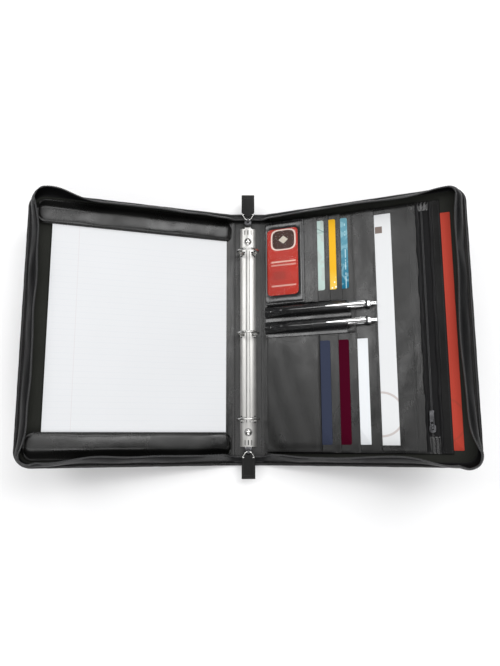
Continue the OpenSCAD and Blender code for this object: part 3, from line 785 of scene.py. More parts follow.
def studio():
    scene = bpy.context.scene
    camera = bpy.data.objects.new("camera", bpy.data.cameras.new("camera"))
    scene.collection.objects.link(camera)
    camera.location = (-0.0103, -0.1337, 0.7738 + HINGE_Z * MM)
    camera.rotation_euler = (math.radians(10.01), math.radians(-0.92), math.radians(-0.16))
    camera.data.lens = 32.8
    camera.data.clip_start = 0.01
    scene.camera = camera

    scene.view_settings.view_transform = "Standard"
    world = bpy.data.worlds.new("studio")
    scene.world = world
    world.use_nodes = True
    sky = world.node_tree.nodes["Background"]
    sky.inputs["Color"].default_value = (1.0, 1.0, 1.0, 1.0)
    sky.inputs["Strength"].default_value = 0.2

    # Softboxes: the two side ones are what the raised covers mirror, the middle one the spine
    lamps = (
        ("left_box", (-0.90, 0.42, 1.30), (0.66, 0.66), 7.0),
        ("right_box", (0.68, 0.50, 1.30), (0.62, 0.92), 9.6),
        ("over_box", (0.0, 0.15, 1.35), (0.46, 1.35), 3.3),
        ("south_box", (0.0, -1.20, 1.15), (1.20, 1.10), 12.5),
        ("north_box", (0.0, 1.65, 1.05), (1.20, 1.10), 12.5),
    )
    for name, spot, size, power in lamps:
        data = bpy.data.lights.new(name, "AREA")
        data.shape, data.energy = "RECTANGLE", power
        data.size, data.size_y = size
        lamp = bpy.data.objects.new(name, data)
        scene.collection.objects.link(lamp)
        lamp.location = spot
        bpy.context.view_layer.update()
        aim(lamp, (0.0, 0.0, 0.03))

    m = Shader("floor", Specular_IOR_Level=0.1)
    tone = m.noise(3.0, 3.0)
    m.link(m.mix(m.ramp(tone, 0.3, 0.7), (0.93, 0.93, 0.935), (0.95, 0.95, 0.955)), "Base Color")
    m.link(m.ramp(tone, 0.3, 0.7, 0.7, 0.8), "Roughness")
    mesh = bpy.data.meshes.new("floor")
    reach, level = 3.0, cad_box[0].z - 0.0005
    mesh.from_pydata([(-reach, -reach, level), (reach, -reach, level), (reach, reach, level),
                      (-reach, reach, level)], [], [(0, 1, 2, 3)])
    mesh.materials.append(m.material)
    floor = bpy.data.objects.new("floor", mesh)
    scene.collection.objects.link(floor)


# ---------------------------------------------------------------- covers

# How each cover's soft wall stands: wave is its unevenness, head_flare and tail_flare are how
# far it opens out at its two outer corners, head_lean is its lean along the head, and tail_lean
# what is added to its lean along the tail
WALL_SHAPE = {
    "front": dict(seed=3, wave=0.8, head_flare=13.0, tail_flare=8.5, head_lean=6.0,
                  tail_lean=-1.2),
    "back": dict(seed=21, wave=1.0, head_flare=6.2, tail_flare=13.0, head_lean=7.0,
                 tail_lean=-2.4),
}


def corner_spots(length):
    """Where the middles of a rim path's head and tail corners lie along it."""
    reach = HALF_H - CORNER_R + CORNER_R * math.pi / 4
    return length / 2 - reach, length / 2 + reach


def wall_lean(s, length, wing):
    """How far the wall's top leans in: least at the two corners, uneven between them."""
    shape = WALL_SHAPE[wing.name]
    head, tail = corner_spots(length)
    lean = WALL_LEAN + (shape["head_lean"] - WALL_LEAN) * (1 - smoothstep((s - head + 40) / 60))
    lean = lean + shape["wave"] * ripple(s, 0 * s, shape["seed"], 70.0, 1.0)
    lean = lean + shape["tail_lean"] * smoothstep((s - tail + 30.0) / 60.0)
    at_head = 0.62 * bell(s - head, 30.0) + 0.62 * bell(s - head + 26.0, 26.0)
    at_tail = np.maximum(bell(s - tail, 27.0), 0.6 * bell(s - tail - 30.0, 30.0))
    lean = lean - shape["head_flare"] * at_head - shape["tail_flare"] * at_tail
    ends = smoothstep(np.minimum(s, length - s) / 40.0)
    return WALL_LEAN + (lean - WALL_LEAN) * ends


def wall_bow(s, length, wing):
    """How far the wall's middle bulges outwards."""
    shape = WALL_SHAPE[wing.name]
    head, tail = corner_spots(length)
    ends = smoothstep(np.minimum(s, length - s) / 30.0)
    bulge = 1.2 + 0.6 * ripple(s, 0 * s, shape["seed"] + 5, 40.0, 1.0)
    bulge = bulge + 1.6 * bell(s - head, 34.0) + 2.4 * bell(s - tail, 40.0)
    return -bulge * ends


def wall_section(lean, bow, height, steps=8):
    """The wall's section: its outer side upwards, then its inner side downwards."""
    t = np.linspace(0, 1, steps)
    inset = WALL_FOOT + lean * t ** 1.15 + bow * np.sin(math.pi * t)
    outer = np.column_stack([inset, t * height])
    inner = np.column_stack([inset + WALL_T, t * height])
    return np.concatenate([outer, inner[::-1]])


def cover(wing, seed):
    """One cover: padded outer leather, piping, soft wall, zip and lining cloth."""
    name, body = wing.name, wing.body
    low, high = wing.box(name + "_skin")
    half = HALF_H - PIPING_D + 1.2
    shell_u = (HINGE_REACH, COVER_W - PIPING_D + 1.2)
    skin_t = 4.4 - PIPING_D / 2

    us = stations(*shell_u, 4.0, 1.5)
    vs = stations(-half, half, 4.0, 1.5)
    u, v = plan(us, vs, CORNER_R - PIPING_D + 1.2, (False, True))
    d = np.minimum(np.minimum(shell_u[1] - u, half - np.abs(v)), 60.0)
    hinge_d = u - shell_u[0]
    crown = smoothstep(d / 34.0) * smoothstep((hinge_d + 4) / 30.0)
    swell = 1.5 * crown + 0.35 * crown * ripple(u, v, seed, 70.0, 80.0)
    tuck = 1.3 * (1 - round_in(d, 6.0))
    outer = low[2] - swell + tuck
    upper = np.full_like(outer, high[2] + skin_t - 0.2)
    points, faces = two_sided(np.stack([u, v, upper], -1), np.stack([u, v, outer], -1))
    shell = piece(name + "_cover_leather", wing.place(points), faces, "black_leather", body)
    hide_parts(name + "_skin", name + "_foam")

    piping_w = low[2] + PIPING_D / 2
    path = rim_path(HINGE_REACH)

    def roll(s):
        turn = np.linspace(0, 2 * math.pi, 20, endpoint=False)
        radius = PIPING_D / 2 * (1 + 0.035 * math.sin(s / 7.0 + seed) + 0.02 * math.sin(s / 2.9))
        radius = radius - 0.32 * bell(turn - 2.1, 0.16) - 0.25 * bell(turn - 0.55, 0.16)
        return np.column_stack([PIPING_D / 2 - radius * np.cos(turn),
                                piping_w + radius * np.sin(turn)])

    piping = tube(name + "_piping_roll", placed(sweep(path, roll), wing.place), "black_leather",
                  body, 60.0)
    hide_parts(name + "_piping")

    path = rim_path(WALL_START)
    length = path[2][-1]

    def wall(s):
        return wall_section(wall_lean(s, length, wing), wall_bow(s, length, wing), WALL_H)

    gusset = tube(name + "_gusset_wall", placed(sweep(path, wall), wing.place), "wall_leather",
                  body, 60.0)
    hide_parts(name + "_gusset")

    def tape(s):
        inset = WALL_FOOT + WALL_T / 2 + wall_lean(s, length, wing)
        return np.array([[inset - 0.45, WALL_H - 1.2], [inset + 0.45, WALL_H - 1.2],
                         [inset + 0.75, WALL_H + 1.7], [inset + 0.15, WALL_H + 1.7]])

    tube(name + "_zip_tape", placed(sweep(path, tape), wing.place), "zip_tape", body)

    fine = rim_path(WALL_START, 0.5)

    def coil(s):
        inset = WALL_FOOT + WALL_T / 2 + wall_lean(s * length / fine[2][-1], length, wing) + 0.5
        radius = 0.92 + 0.26 * math.cos(2 * math.pi * s / 2.0)
        return circle(radius, 8, (inset, WALL_H + 1.5))

    teeth = tube(name + "_zip_teeth", placed(sweep(fine, coil), wing.place), "zip_coil", body, 60.0)
    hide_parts(name + "_zip")

    lining_low, lining_high = wing.box(name + "_lining")
    spans = (lining_low[0], lining_high[0]), (lining_low[1], lining_high[1])

    def slack(u, v, d):
        return 0.12 * ripple(u, v, seed + 9, 50.0, 70.0) * smoothstep(d / 20.0) - 0.08

    lining = slab(name + "_lining_cloth", wing, *spans, lining_low[2], lining_high[2],
                  "lining_cloth", slack, 5.0, 0.5, CORNER_R - PIPING_D, (False, True))
    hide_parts(name + "_lining")

    seam = Stitching(name + "_rim_stitches", body)
    edge_points, inward, gone = rim_path(WALL_START, 1.5)
    line = np.column_stack([edge_points + 3.6 * inward, np.full(len(gone), -0.35)])
    seam.run(line, wing.place, 3.2, 2.3, 0.5)
    seam.make()


# ---------------------------------------------------------------- spine and hinges

def strip(name, wing, span, v_half, low, top, finish, nodes=(), reach=HINGE_REACH, step=1.0,
          sag=0.0):
    """Leather across a hinge: it bends between the spine and the cover."""
    us = np.linspace(*span, max(4, round((span[1] - span[0]) / step)) + 1)
    vs = stations(-v_half, v_half, 6.0, 0.8)
    u, v = np.meshgrid(us, vs, indexing="ij")
    roll = round_in(v_half - np.abs(v), 0.7)
    pucker = sag * bell(u, reach * 0.6) + 0.10 * ripple(u, v, 41, 6.0, 14.0) * bell(u, reach)
    face = low + (top - low) * (0.3 + 0.7 * roll) + pucker
    under = np.full_like(face, low) + pucker * 0.7
    points, faces = two_sided(np.stack([u, v, face], -1), np.stack([u, v, under], -1))
    obj = piece(name, wing.bend(points, reach), faces, finish)
    ends = wing.bend([(-reach, 0, 0), (reach, 0, 0)], reach) * MM
    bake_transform(obj)
    if nodes:
        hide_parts(*nodes)
    return obj


def spine():
    skin_top = SPINE.box("spine_skin")[1][2]
    half = HALF_H - PIPING_D + 1.2
    bare = HINGE_X - HINGE_REACH
    outer = slab("spine_cover_leather", SPINE, (-bare - 0.2, bare + 0.2), (-half, half), 0.0,
                 skin_top - 0.05, "black_leather", None, 4.0, 0.4)
    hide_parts("spine_skin")

    inner_low, inner_high = SPINE.box("spine_lining")
    inner_edge = 18.6

    def dip(u, v, d):
        return (0.2 * ripple(u, v, 77, 12.0, 30.0) - 0.18) * smoothstep(d / 4.0)

    inner = slab("spine_inner_leather", SPINE, (-inner_edge, inner_edge),
                 (-half + 1, half - 1), inner_low[2], inner_high[2] + 0.05, "inner_leather", dip,
                 2.5, 0.5)
    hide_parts("spine_lining")

    for wing in (FRONT, BACK):
        strip(wing.name + "_hinge_outside", wing, (-HINGE_REACH - 0.2, HINGE_REACH + 0.3), half,
              -HINGE_Z, 1.1 - HINGE_Z, "black_leather")
        replaced = ("hinge_folds",) if wing is FRONT else ()
        strip(wing.name + "_hinge_inside", wing, (-4.4, 9.0), half - 3, 0.15, 1.15,
              "inner_leather", replaced, 4.4, 0.8, 0.5)
        seam = Stitching(wing.name + "_hinge_stitches", "spine")
        x = wing.side * (HINGE_X - 4.4 - 0.9)
        seam.run([(x, -half + 6, inner_high[2] + 0.12), (x, half - 6, inner_high[2] + 0.12)],
                 SPINE.place, 3.2, 2.2, 0.45)
        seam.make()


def end_profile(x):
    """Height and lean of the end wall at distance x from the spine's middle."""
    share = smoothstep((np.abs(x) - 15.0) / (HINGE_X + WALL_START - 15.0))
    height = SPINE_WALL_H + share * (WALL_H - SPINE_WALL_H)
    lean = SPINE_WALL_LEAN + share * (WALL_LEAN - SPINE_WALL_LEAN)
    return height, lean


def end_walls():
    """The zipped wall carried over the spine at head and tail, with its zip and edge roll."""
    pieces_of = (("spine", None, (-8.2, 8.2)),
                 ("front", FRONT, (-END_REACH - 0.2, WALL_START + 0.3)),
                 ("back", BACK, (-END_REACH - 0.2, WALL_START + 0.3)))
    for end, sign in (("head", 1), ("tail", -1)):
        for part, wing, span in pieces_of:
            run = np.linspace(*span, 24)
            wall, tape, coil = [], [], []
            fine = np.linspace(*span, round((span[1] - span[0]) / 0.5))
            for a in run:
                x = a if wing is None else HINGE_X + a
                height, lean = end_profile(x)
                section = wall_section(lean, -0.5 * bell(abs(x) - 20.0, 12.0), height)
                wall.append(end_ring(a, section, sign, wing))
                inset = WALL_FOOT + WALL_T / 2 + lean
                tape.append(end_ring(a, np.array([
                    [inset - 0.45, height - 1.2], [inset + 0.45, height - 1.2],
                    [inset + 0.75, height + 1.7], [inset + 0.15, height + 1.7]]), sign, wing))
            for a in fine:
                x = a if wing is None else HINGE_X + a
                height, lean = end_profile(x)
                radius = 0.92 + 0.26 * math.cos(2 * math.pi * x / 2.0)
                coil.append(end_ring(a, circle(radius, 8, (
                    WALL_FOOT + WALL_T / 2 + lean + 0.5, height + 1.5)), sign, wing))
            label = f"{part}_{end}"
            made = [(label + "_end_wall", wall, "wall_leather"),
                    (label + "_end_tape", tape, "zip_tape"),
                    (label + "_end_teeth", coil, "zip_coil")]
            for title, rings, finish in made:
                place_end(title, rings, finish, wing, END_REACH)
    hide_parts("spine_gussets")

    for end, sign in (("head", 1), ("tail", -1)):
        for part, wing, span in (("spine", None, (-HINGE_X + HINGE_REACH, HINGE_X - HINGE_REACH)),
                                 ("front", FRONT, (-HINGE_REACH - 0.1, HINGE_REACH + 0.1)),
                                 ("back", BACK, (-HINGE_REACH - 0.1, HINGE_REACH + 0.1))):
            rings = []
            for a in np.linspace(*span, 18):
                section = circle(PIPING_D / 2, 18, (PIPING_D / 2, PIPING_D / 2 - HINGE_Z))
                rings.append(end_ring(a, section, sign, wing))
            place_end(f"{part}_{end}_edge_roll", rings, "black_leather", wing, HINGE_REACH)


def end_ring(a, section, sign, wing):
    ring = np.empty((len(section), 3))
    ring[:, 0] = a
    ring[:, 1] = sign * (HALF_H - section[:, 0])
    ring[:, 2] = section[:, 1] + (HINGE_Z if wing is None else 0.0)
    return ring


def place_end(title, rings, finish, wing, reach):
    if wing is None:
        return tube(title, rings, finish, "spine", 60.0)
    obj = tube(title, [wing.bend(ring, reach) for ring in rings], finish, None, 60.0)
    ends = wing.bend([(-reach, 0, 0), (reach, 0, 0)], reach) * MM
    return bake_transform(obj)


# ---------------------------------------------------------------- zip sliders and pulls

def arch(base, radii, half, thick, steps, sides):
    """Rings of a low bridge over `base`, with its reach along the zip and its height as radii."""
    rings = []
    for a in np.linspace(0, math.pi, steps):
        ring = []
        for b in np.linspace(0, 2 * math.pi, sides, endpoint=False):
            out = thick * math.cos(b)
            ring.append((base[0] + half * math.sin(b), base[1] + (radii[0] + out) * math.cos(a),
                         base[2] + (radii[1] + out) * math.sin(a)))
        rings.append(ring)
    return rings


def slider_body(name, node, sign):
    """A zip slider: waisted shield with a raised bridge for its pull."""
    low, high = SPINE.box(node)
    middle_y = (low[1] + high[1]) / 2
    half_y = (high[1] - low[1]) / 2
    rings = []
    body_top = low[2] + 3.4
    for w, swell in ((low[2], 0.86), (low[2] + 0.4, 1.0), (low[2] + 1.3, 1.0),
                     (low[2] + 1.5, 0.82), (low[2] + 2.0, 0.82), (low[2] + 2.2, 1.0),
                     (body_top - 0.4, 1.0), (body_top, 0.84)):
        x, y = squircle(36, 4.4, half_y, 0.55, 0.55)
        x = x * (1 - 0.22 * smoothstep(sign * y / half_y))
        rings.append(np.column_stack([x * swell, middle_y + y * swell, np.full(36, w)]))
    shield = tube(name + "_shield", rings, "black_metal", "spine", 50.0)
    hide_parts(node)
    pivot = pull_pivot(sign)
    bridge = arch((0.0, pivot[1], body_top - 0.3), (3.1, 4.2), 1.5, 0.55, 15, 10)
    tube(name + "_bridge", bridge, "black_metal", "spine", 60.0)


def pull_pivot(sign):
    name = "top_loop_swing" if sign > 0 else "bottom_loop_swing"
    return np.array(JOINTS[name]["pos_m"], float) / MM


PULL_DROOP = {1: math.radians(-4.0), -1: math.radians(8.0)}
LOOP_L = 7.0
LOOP_HALF = 7.6


def at_pull(points, sign):
    """Places a pull drawn outwards from its hinge along +y."""
    x, y, z = np.asarray(points, float).T
    pivot = pull_pivot(sign)
    cos, sin = math.cos(PULL_DROOP[sign]), math.sin(PULL_DROOP[sign])
    out = y * cos + z * sin
    return np.stack([x, pivot[1] + sign * out, pivot[2] - y * sin + z * cos], 1)


def pull(title, sign):
    """A bent wire link and a stitched leather tab folded round it."""
    corners = np.array([(-3.2, 0.0), (3.2, 0.0), (LOOP_HALF, LOOP_L), (-LOOP_HALF, LOOP_L)])
    centre_line = []
    for k in range(4):
        before, corner, after = corners[k - 1], corners[k], corners[(k + 1) % 4]
        ease = 1.5
        start = corner + (before - corner) / np.linalg.norm(before - corner) * ease
        stop = corner + (after - corner) / np.linalg.norm(after - corner) * ease
        for t in np.linspace(0, 1, 6):
            centre_line.append((1 - t) ** 2 * start + 2 * t * (1 - t) * corner + t * t * stop)
    centre_line = np.array(centre_line)
    count = len(centre_line)
    rings = []
    for i, p in enumerate(centre_line):
        way = centre_line[(i + 1) % count] - centre_line[i - 1]
        way /= np.linalg.norm(way)
        side = np.array([way[1], -way[0]])
        turn = np.linspace(0, 2 * math.pi, 10, endpoint=False)
        radius = 0.8
        ring = np.column_stack([p + np.outer(np.cos(turn) * radius, side),
                                np.sin(turn) * radius])
        rings.append(at_pull(ring, sign))
    link = piece(f"{title}_pull_link", np.concatenate(rings), hoop_faces(count, 10), "nickel",
                 f"{title}_pull_loop", 60.0)
    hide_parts(f"pull_loop_{title}")

    tab_start, shoulder, tab_end = 4.0, 10.0, 33.0
    ys = np.concatenate([np.linspace(tab_start, shoulder, 8), np.linspace(11, tab_end - 1, 18),
                         [tab_end - 0.4, tab_end - 0.1, tab_end]])
    rings = []
    for y in ys:
        half = 3.9 + (8.4 - 3.9) * smoothstep((y - tab_start) / (shoulder - tab_start)) ** 1.3
        end = round_in(min(y - tab_start + 0.35, tab_end - y + 0.25), 1.3)
        thick = 1.4 * (0.35 + 0.65 * end)
        thick *= 1 + 0.22 * bell(y - LOOP_L, 2.2)
        x, z = squircle(32, half, thick, 0.28, 0.45)
        groove = 0.22 * bell(np.abs(x) - (half - 1.7), 0.5) * np.sign(z)
        z = z - groove + 0.05 * ripple(x, y + 0 * x, 3, 5.0, 6.0)
        rings.append(at_pull(np.column_stack([x, np.full(32, y), z]), sign))
    tab = tube(f"{title}_pull_leather", rings, "pull_leather", f"{title}_pull_tab", 60.0)
    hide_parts(f"pull_tab_{title}")
    seam = Stitching(f"{title}_pull_stitches", f"{title}_pull_tab")
    for side in (1, -1):
        rail = 1.32 * side
        seam.run([(-6.7, 11.5, rail), (-6.7, tab_end - 2.0, rail), (6.7, tab_end - 2.0, rail),
                  (6.7, 11.5, rail)], lambda p: at_pull(p, sign), 2.2, 1.6, 0.4)
        seam.run([(-6.0, tab_end - 4.2, rail), (6.0, tab_end - 4.2, rail)],
                 lambda p: at_pull(p, sign), 2.2, 1.6, 0.4)
    seam.make()


# ---------------------------------------------------------------- ring mechanism

RING_PITCH = 108.0
RIVET_Y = 124.0
RIVET_SHADE_R = 4.6


def mechanism():
    """Fine details on the ring housing: dark metal ribs, dark slots and dark rings round the
    rivets, which are painted shade for its grooves, its openings and the hollows round its rivets;
    the CAD housing, blades and rings stay.
    """
    half_w, half_l, crown = SPINE.box("ring_housing")[1]
    radius = (half_w ** 2 + 3.5 ** 2) / 7.0

    def crown_z(x):
        return crown - radius + np.sqrt(radius ** 2 - np.asarray(x, float) ** 2)

    # Two dark ribs along the crown: painted shade for the pair of grooves down its middle.
    for label, x in (("left", -2.1), ("right", 2.1)):
        rings = []
        for y in np.linspace(-half_l + 30, half_l - 30, 60):
            turn = np.linspace(0, 2 * math.pi, 8, endpoint=False)
            rings.append(np.column_stack([x + 0.38 * np.cos(turn), np.full(8, y),
                                          crown_z(x) + 0.02 + 0.2 * np.sin(turn)]))
        tube(f"housing_rib_{label}", rings, "black_metal", "spine", 60.0)
    for end, sign in (("top", 1), ("bottom", -1)):
        # Three dark slots at each end: painted shade for openings in the housing.
        for k, x in enumerate((-3.9, 0.0, 3.9)):
            slab(f"housing_slot_{end}_{k + 1}", SPINE, (x - 0.75, x + 0.75),
                 tuple(sorted((sign * (half_l - 8.5), sign * (half_l - 2.0)))),
                 crown_z(x) - 0.4, crown_z(x) + 0.06, "slot_painted_shade", None, 0.6, 0.2, 0.6)
        # A dark ring round each rivet: painted shade round the rivet's dome.
        shade_ring = []
        for a in np.linspace(0, 2 * math.pi, 25)[:-1]:
            for b in np.linspace(0, 2 * math.pi, 9)[:-1]:
                r = RIVET_SHADE_R + 0.35 * math.cos(b)
                x, y = r * math.cos(a), r * math.sin(a)
                level = float(crown_z(min(abs(x), 9.0))) + 0.3 * math.sin(b)
                shade_ring.append((x, sign * RIVET_Y + y, level))
        piece(f"rivet_collar_{end}", shade_ring, hoop_faces(24, 8), "black_metal", "spine", 60.0)
    # Dark slots where the half rings pass through: painted shade for those openings.
    for k, row in enumerate((-RING_PITCH, 0.0, RING_PITCH)):
        for label, side in (("left", -1), ("right", 1)):
            for tip, along in (("a", -1), ("b", 1)):
                x = side * 7.6
                y = row + along * 3.6
                slab(f"ring_slot_{k + 1}_{label}_{tip}", SPINE, (x - 2.0, x + 2.0),
                     (y - 0.8, y + 0.8), crown_z(x) - 0.5, crown_z(x) + 0.1, "slot_painted_shade",
                     None, 0.7, 0.2, 0.5)


def dress_cad():
    """Finishes for the CAD nodes that stay."""
    finishes = {
        "spine_board": "board", "front_board": "board", "back_board": "board",
        "ring_housing": "housing_plate", "housing_rivets": "nickel", "front_blade": "nickel",
        "front_half_rings": "nickel", "back_blade": "nickel", "back_half_rings": "nickel",
        "ring_lever_top": "nickel", "ring_lever_bottom": "nickel", "pad_backing": "pad_board",
        "id_window": "window_film",
    }
    for node, finish in finishes.items():
        obj = frame["nodes"][node]
        if obj.hide_render:
            continue
        obj.data.materials.clear()
        obj.data.materials.append(MATERIALS[finish])


# ---------------------------------------------------------------- writing pad

def flap(title, node, sign):
    """A padded leather flap that holds an end of the pad: crowned, with a bound edge."""
    low, high = FRONT.box(node)
    u_span = (low[0] - 4.0, high[0] + 6.5)
    v_in, v_out = (low[1], high[1]) if sign > 0 else (-high[1], -low[1])
    v_span = (v_in, v_out + 2.4)
    pad_top = FRONT.box("pad_sheets")[1]
    corner = 12.0
    us = stations(*u_span, 2.5, 1.0)
    near = corner * (1 - np.cos(np.linspace(0, math.pi / 2, 10)))
    us = np.unique(np.round(np.concatenate([us, u_span[0] + near, u_span[1] - near]), 3))
    vs = stations(*v_span, 1.4, 1.0)
    u, v = plan(us, vs, corner, (True, True))
    d = edge_distance(u, v, u_span, v_span, corner, (True, True))
    lift = pad_top[2] + 0.5
    on_pad = (1 - smoothstep((v - pad_top[1] - 0.5) / 9.0)) * smoothstep((u - 0.5) / 8.0)
    under = 0.2 + (lift - 0.2) * on_pad
    crown = high[2] + 0.6
    edge_level = under + 1.2
    dome = round_in(d - 2.6, 13.0)
    slope = smoothstep((v_out + 3.0 - v) / 17.0) * 0.85 + 0.15
    face = edge_level * round_in(d + 0.3, 0.9) + (crown - edge_level) * dome * slope
    face = np.maximum(face, under + 0.3)
    piping = 0.75 * bell(d - 1.25, 0.75) - 0.55 * bell(d - 2.7, 0.55)
    piping = piping * (1 - 0.9 * smoothstep((v - v_out + 7.0) / 5.0))
    wrinkle = 0.22 * ripple(u, v, 11 + sign, 14.0, 22.0) + 0.5 * ripple(u, v, 31 + sign, 38.0, 60.0)
    face = face + piping + wrinkle * round_in(d - 3.0, 9.0)
    top = np.stack([u, sign * v, face], -1)
    base = np.stack([u, sign * v, under], -1)
    points, faces = two_sided(top, base)
    obj = piece(f"{title}_flap_leather", FRONT.place(points), faces, "inner_leather",
                "front_cover", 60.0)
    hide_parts(node)


def pad():
    low, high = FRONT.box("pad_sheets")
    rng = np.random.default_rng(5)
    count = 11
    pitch = (high[2] - low[2]) / count
    points, faces = [], []
    for k in range(count - 1):
        shift = rng.uniform(-0.28, 0.28, 2)
        a = len(points)
        u0, u1 = low[0] + shift[0], high[0] + shift[0]
        v0, v1 = low[1] + shift[1], high[1] + shift[1]
        w0 = low[2] + k * pitch
        for w in (w0, w0 + pitch * 0.86):
            points += [(u0, v0, w), (u1, v0, w), (u1, v1, w), (u0, v1, w)]
        faces += [(a, a + 1, a + 2, a + 3), (a + 4, a + 7, a + 6, a + 5)]
        faces += [(a + i, a + 4 + i, a + 4 + (i + 1) % 4, a + (i + 1) % 4) for i in range(4)]
    stack = piece("pad_page_stack", FRONT.place(np.array(points)), faces, "pad_paper",
                  "writing_pad")
    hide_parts("pad_sheets")

    def curl(u, v):
        near_spine = bell(u - low[0], 26.0)
        return 0.30 * near_spine * bell(v - 60.0, 90.0) + 0.05 * ripple(u, v, 8, 60.0, 80.0) + 0.05

    slab("pad_top_page", FRONT, (low[0] - 1.6, high[0] + 0.8), (low[1] + 0.3, high[1] - 0.2),
         high[2] - pitch, high[2] - pitch * 0.5, "pad_paper", None, 6.0, 0.5, follow=curl,
         body="writing_pad")

    panel_low, panel_high = FRONT.box("pad_panel")

    def hem(u, v, d):
        return -0.18 * bell(d - 1.6, 0.35)

    panel = slab("pad_side_panel", FRONT, (panel_low[0] + 3.5, panel_high[0]),
                 (-HALF_H + 9.0, HALF_H - 9.0), 0.05, panel_high[2], "matt_leather", hem, 4.0, 0.5)
    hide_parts("pad_panel")


# ---------------------------------------------------------------- organizer

def card_slots_and_window():
    """Three card slots and the framed window, each a leather sheet over the one below."""
    block_low, block_high = BACK.box("card_slots")
    show = CARD_SHOW
    pitch = BACK.box("card_blue")[1][0] - BACK.box("card_yellow")[1][0]
    seams = Stitching("card_stitches", "back_cover")
    letter_top = BACK.box("letter_pocket")[1][2]
    v_top, v_foot = block_high[1], 37.0

    def field(u, v, d):
        wave = 0.3 * ripple(u, v, 19, 22.0, 24.0) * smoothstep(d / 6.0)
        return wave - 0.25 * bell(d - 1.7, 0.4) + 0.15 * bell(d - 0.8, 0.4)

    base = slab("card_block_leather", BACK, (4.0, block_high[0]), (block_low[1], v_top),
                letter_top + 0.02, letter_top + 0.5, "inner_leather", field, 4.0, 0.5)
    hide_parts("card_slots")
    seams.run([(block_high[0] - 1.7, block_low[1] + 2, letter_top + 0.28),
               (block_high[0] - 1.7, v_top - 2, letter_top + 0.28)], BACK.place)
    for k, colour in enumerate(("blue", "yellow", "green")):
        card = "card_" + colour
        card_low, card_high = BACK.box(card)
        edge = card_high[0] - show
        floor = card_low[2] - 0.1

        def slot_face(u, v, d, edge=edge, k=k):
            lip = edge - u
            face = 0.42 * bell(lip - 0.9, 0.75) - 0.36 * bell(lip - 2.6, 0.5)
            face = face - 0.2 * bell(d - 1.5, 0.35)
            clear = smoothstep((u - (edge - pitch + show) - 0.3) / 1.8)
            over = smoothstep((v - 47.0) / 6.0) * smoothstep((146.0 - v) / 5.0)
            face = face + 0.2 * over + 0.2 * ripple(u, v, 50 + k, 12.0, 22.0)
            return np.clip(face - 0.34, -0.4, 0.05) * clear

        slab(f"{card}_slot", BACK, (4.5, edge), (v_foot, v_top - 0.3 * k), floor + 0.55,
             floor + 1.0, "inner_leather", slot_face, 2.2, 0.5)
        slab(f"{card}_slot_wall", BACK, (edge - 16.0, edge - 0.8), (v_foot + 0.3, v_foot + 2.0),
             floor, floor + 0.6, "inner_leather", None, 2.0, 0.4)
        seams.run([(edge - 3.4, v_foot + 1.6, floor + 1.05), (edge - 13.0, v_foot + 1.6,
                                                              floor + 1.05)],
                  BACK.place, 2.8, 1.9, 0.38)
        made = plate(f"{card}_plate", BACK, (card_low[0], card_high[0]),
                     (card_low[1], card_high[1]), card_low[2], card_high[2] + 0.1,
                     f"{colour}_print", 2.4, body=f"{colour}_card")
        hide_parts(card)

    win_low, win_high = BACK.box("id_window")
    frame_top = BACK.box("card_slots")[1][2]
    floor = BACK.box("id_card")[0][2] - 0.1
    out_u, out_v = (3.4, win_high[0] + 8.2), (v_foot + 0.6, v_top - 0.4)
    loops = []
    for share, height in ((0.0, floor + 0.62), (0.0, frame_top - 0.5), (0.06, frame_top - 0.05),
                          (0.16, frame_top + 0.35), (0.3, frame_top + 0.75),
                          (0.5, frame_top + 0.95), (0.66, frame_top + 0.9),
                          (0.8, frame_top + 0.55), (0.88, frame_top + 0.1),
                          (0.93, frame_top + 0.28), (1.0, frame_top - 0.2), (1.0, floor + 0.05)):
        span_u = [win_low[0] + (out_u[0] - win_low[0]) * share,
                  win_high[0] + (out_u[1] - win_high[0]) * share]
        span_v = [win_low[1] + (out_v[0] - win_low[1]) * share,
                  win_high[1] + (out_v[1] - win_high[1]) * share]
        corner = 5.0 + (1.5 - 5.0) * share
        outline = rounded(span_u, span_v, corner)
        loops.append(np.column_stack([outline, np.full(len(outline), height)]))
    wave = [0.14 * ripple(loop[:, 0], loop[:, 1], 5, 12.0, 12.0) for loop in loops]
    for loop, lift, share in zip(loops, wave, (0, 0, 0, .6, 1, 1, 1, .6, .2, .2, 0, 0)):
        loop[:, 2] += lift * share
    holder = piece("id_frame_leather", BACK.place(np.concatenate(loops)),
                   hoop_faces(len(loops), len(loops[0])), "gloss_leather", "back_cover", 70.0)
    ridge_level = BACK.box("id_card")[0][2] - 0.66
    for k, u in enumerate((out_u[1] + 1.2, out_u[1] + 4.8)):
        def ridge(v, k=k, u=u):
            return circle(0.62, 10, (u + 0.1 * math.sin(v / 9.0 + k), ridge_level))

        rod(f"id_ridge_{k + 1}", np.linspace(v_foot + 2.5, v_top - 3.0, 60), ridge,
            "gloss_leather")
    low, high = BACK.box("id_card")
    made = plate("id_card_plate", BACK, (low[0], high[0]), (low[1], high[1]), low[2], high[2],
                 "id_card_print", 2.6, body="id_card_body")
    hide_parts("id_card")
    seams.run([(6.0, v_foot + 1.4, floor + 0.9), (53.0, v_foot + 1.4, floor + 0.9)], BACK.place,
              2.8, 1.9, 0.38)
    seams.make()


def rounded(u_span, v_span, corner, count=9, steps=12):
    """A round-cornered outline, anticlockwise, with `steps` points along each straight side."""
    outline = []
    for quarter, (cu, cv) in enumerate((
            (u_span[1] - corner, v_span[1] - corner), (u_span[0] + corner, v_span[1] - corner),
            (u_span[0] + corner, v_span[0] + corner), (u_span[1] - corner, v_span[0] + corner))):
        for a in np.linspace(quarter * math.pi / 2, (quarter + 1) * math.pi / 2, count):
            outline.append((cu + corner * math.cos(a), cv + corner * math.sin(a)))
    runs = []
    for k, (a, b) in enumerate(zip(outline, outline[1:] + outline[:1])):
        parts = steps if k % count == count - 1 else 1
        runs += [(a[0] + (b[0] - a[0]) * t / parts, a[1] + (b[1] - a[1]) * t / parts)
                 for t in range(parts)]
    return np.array(runs)


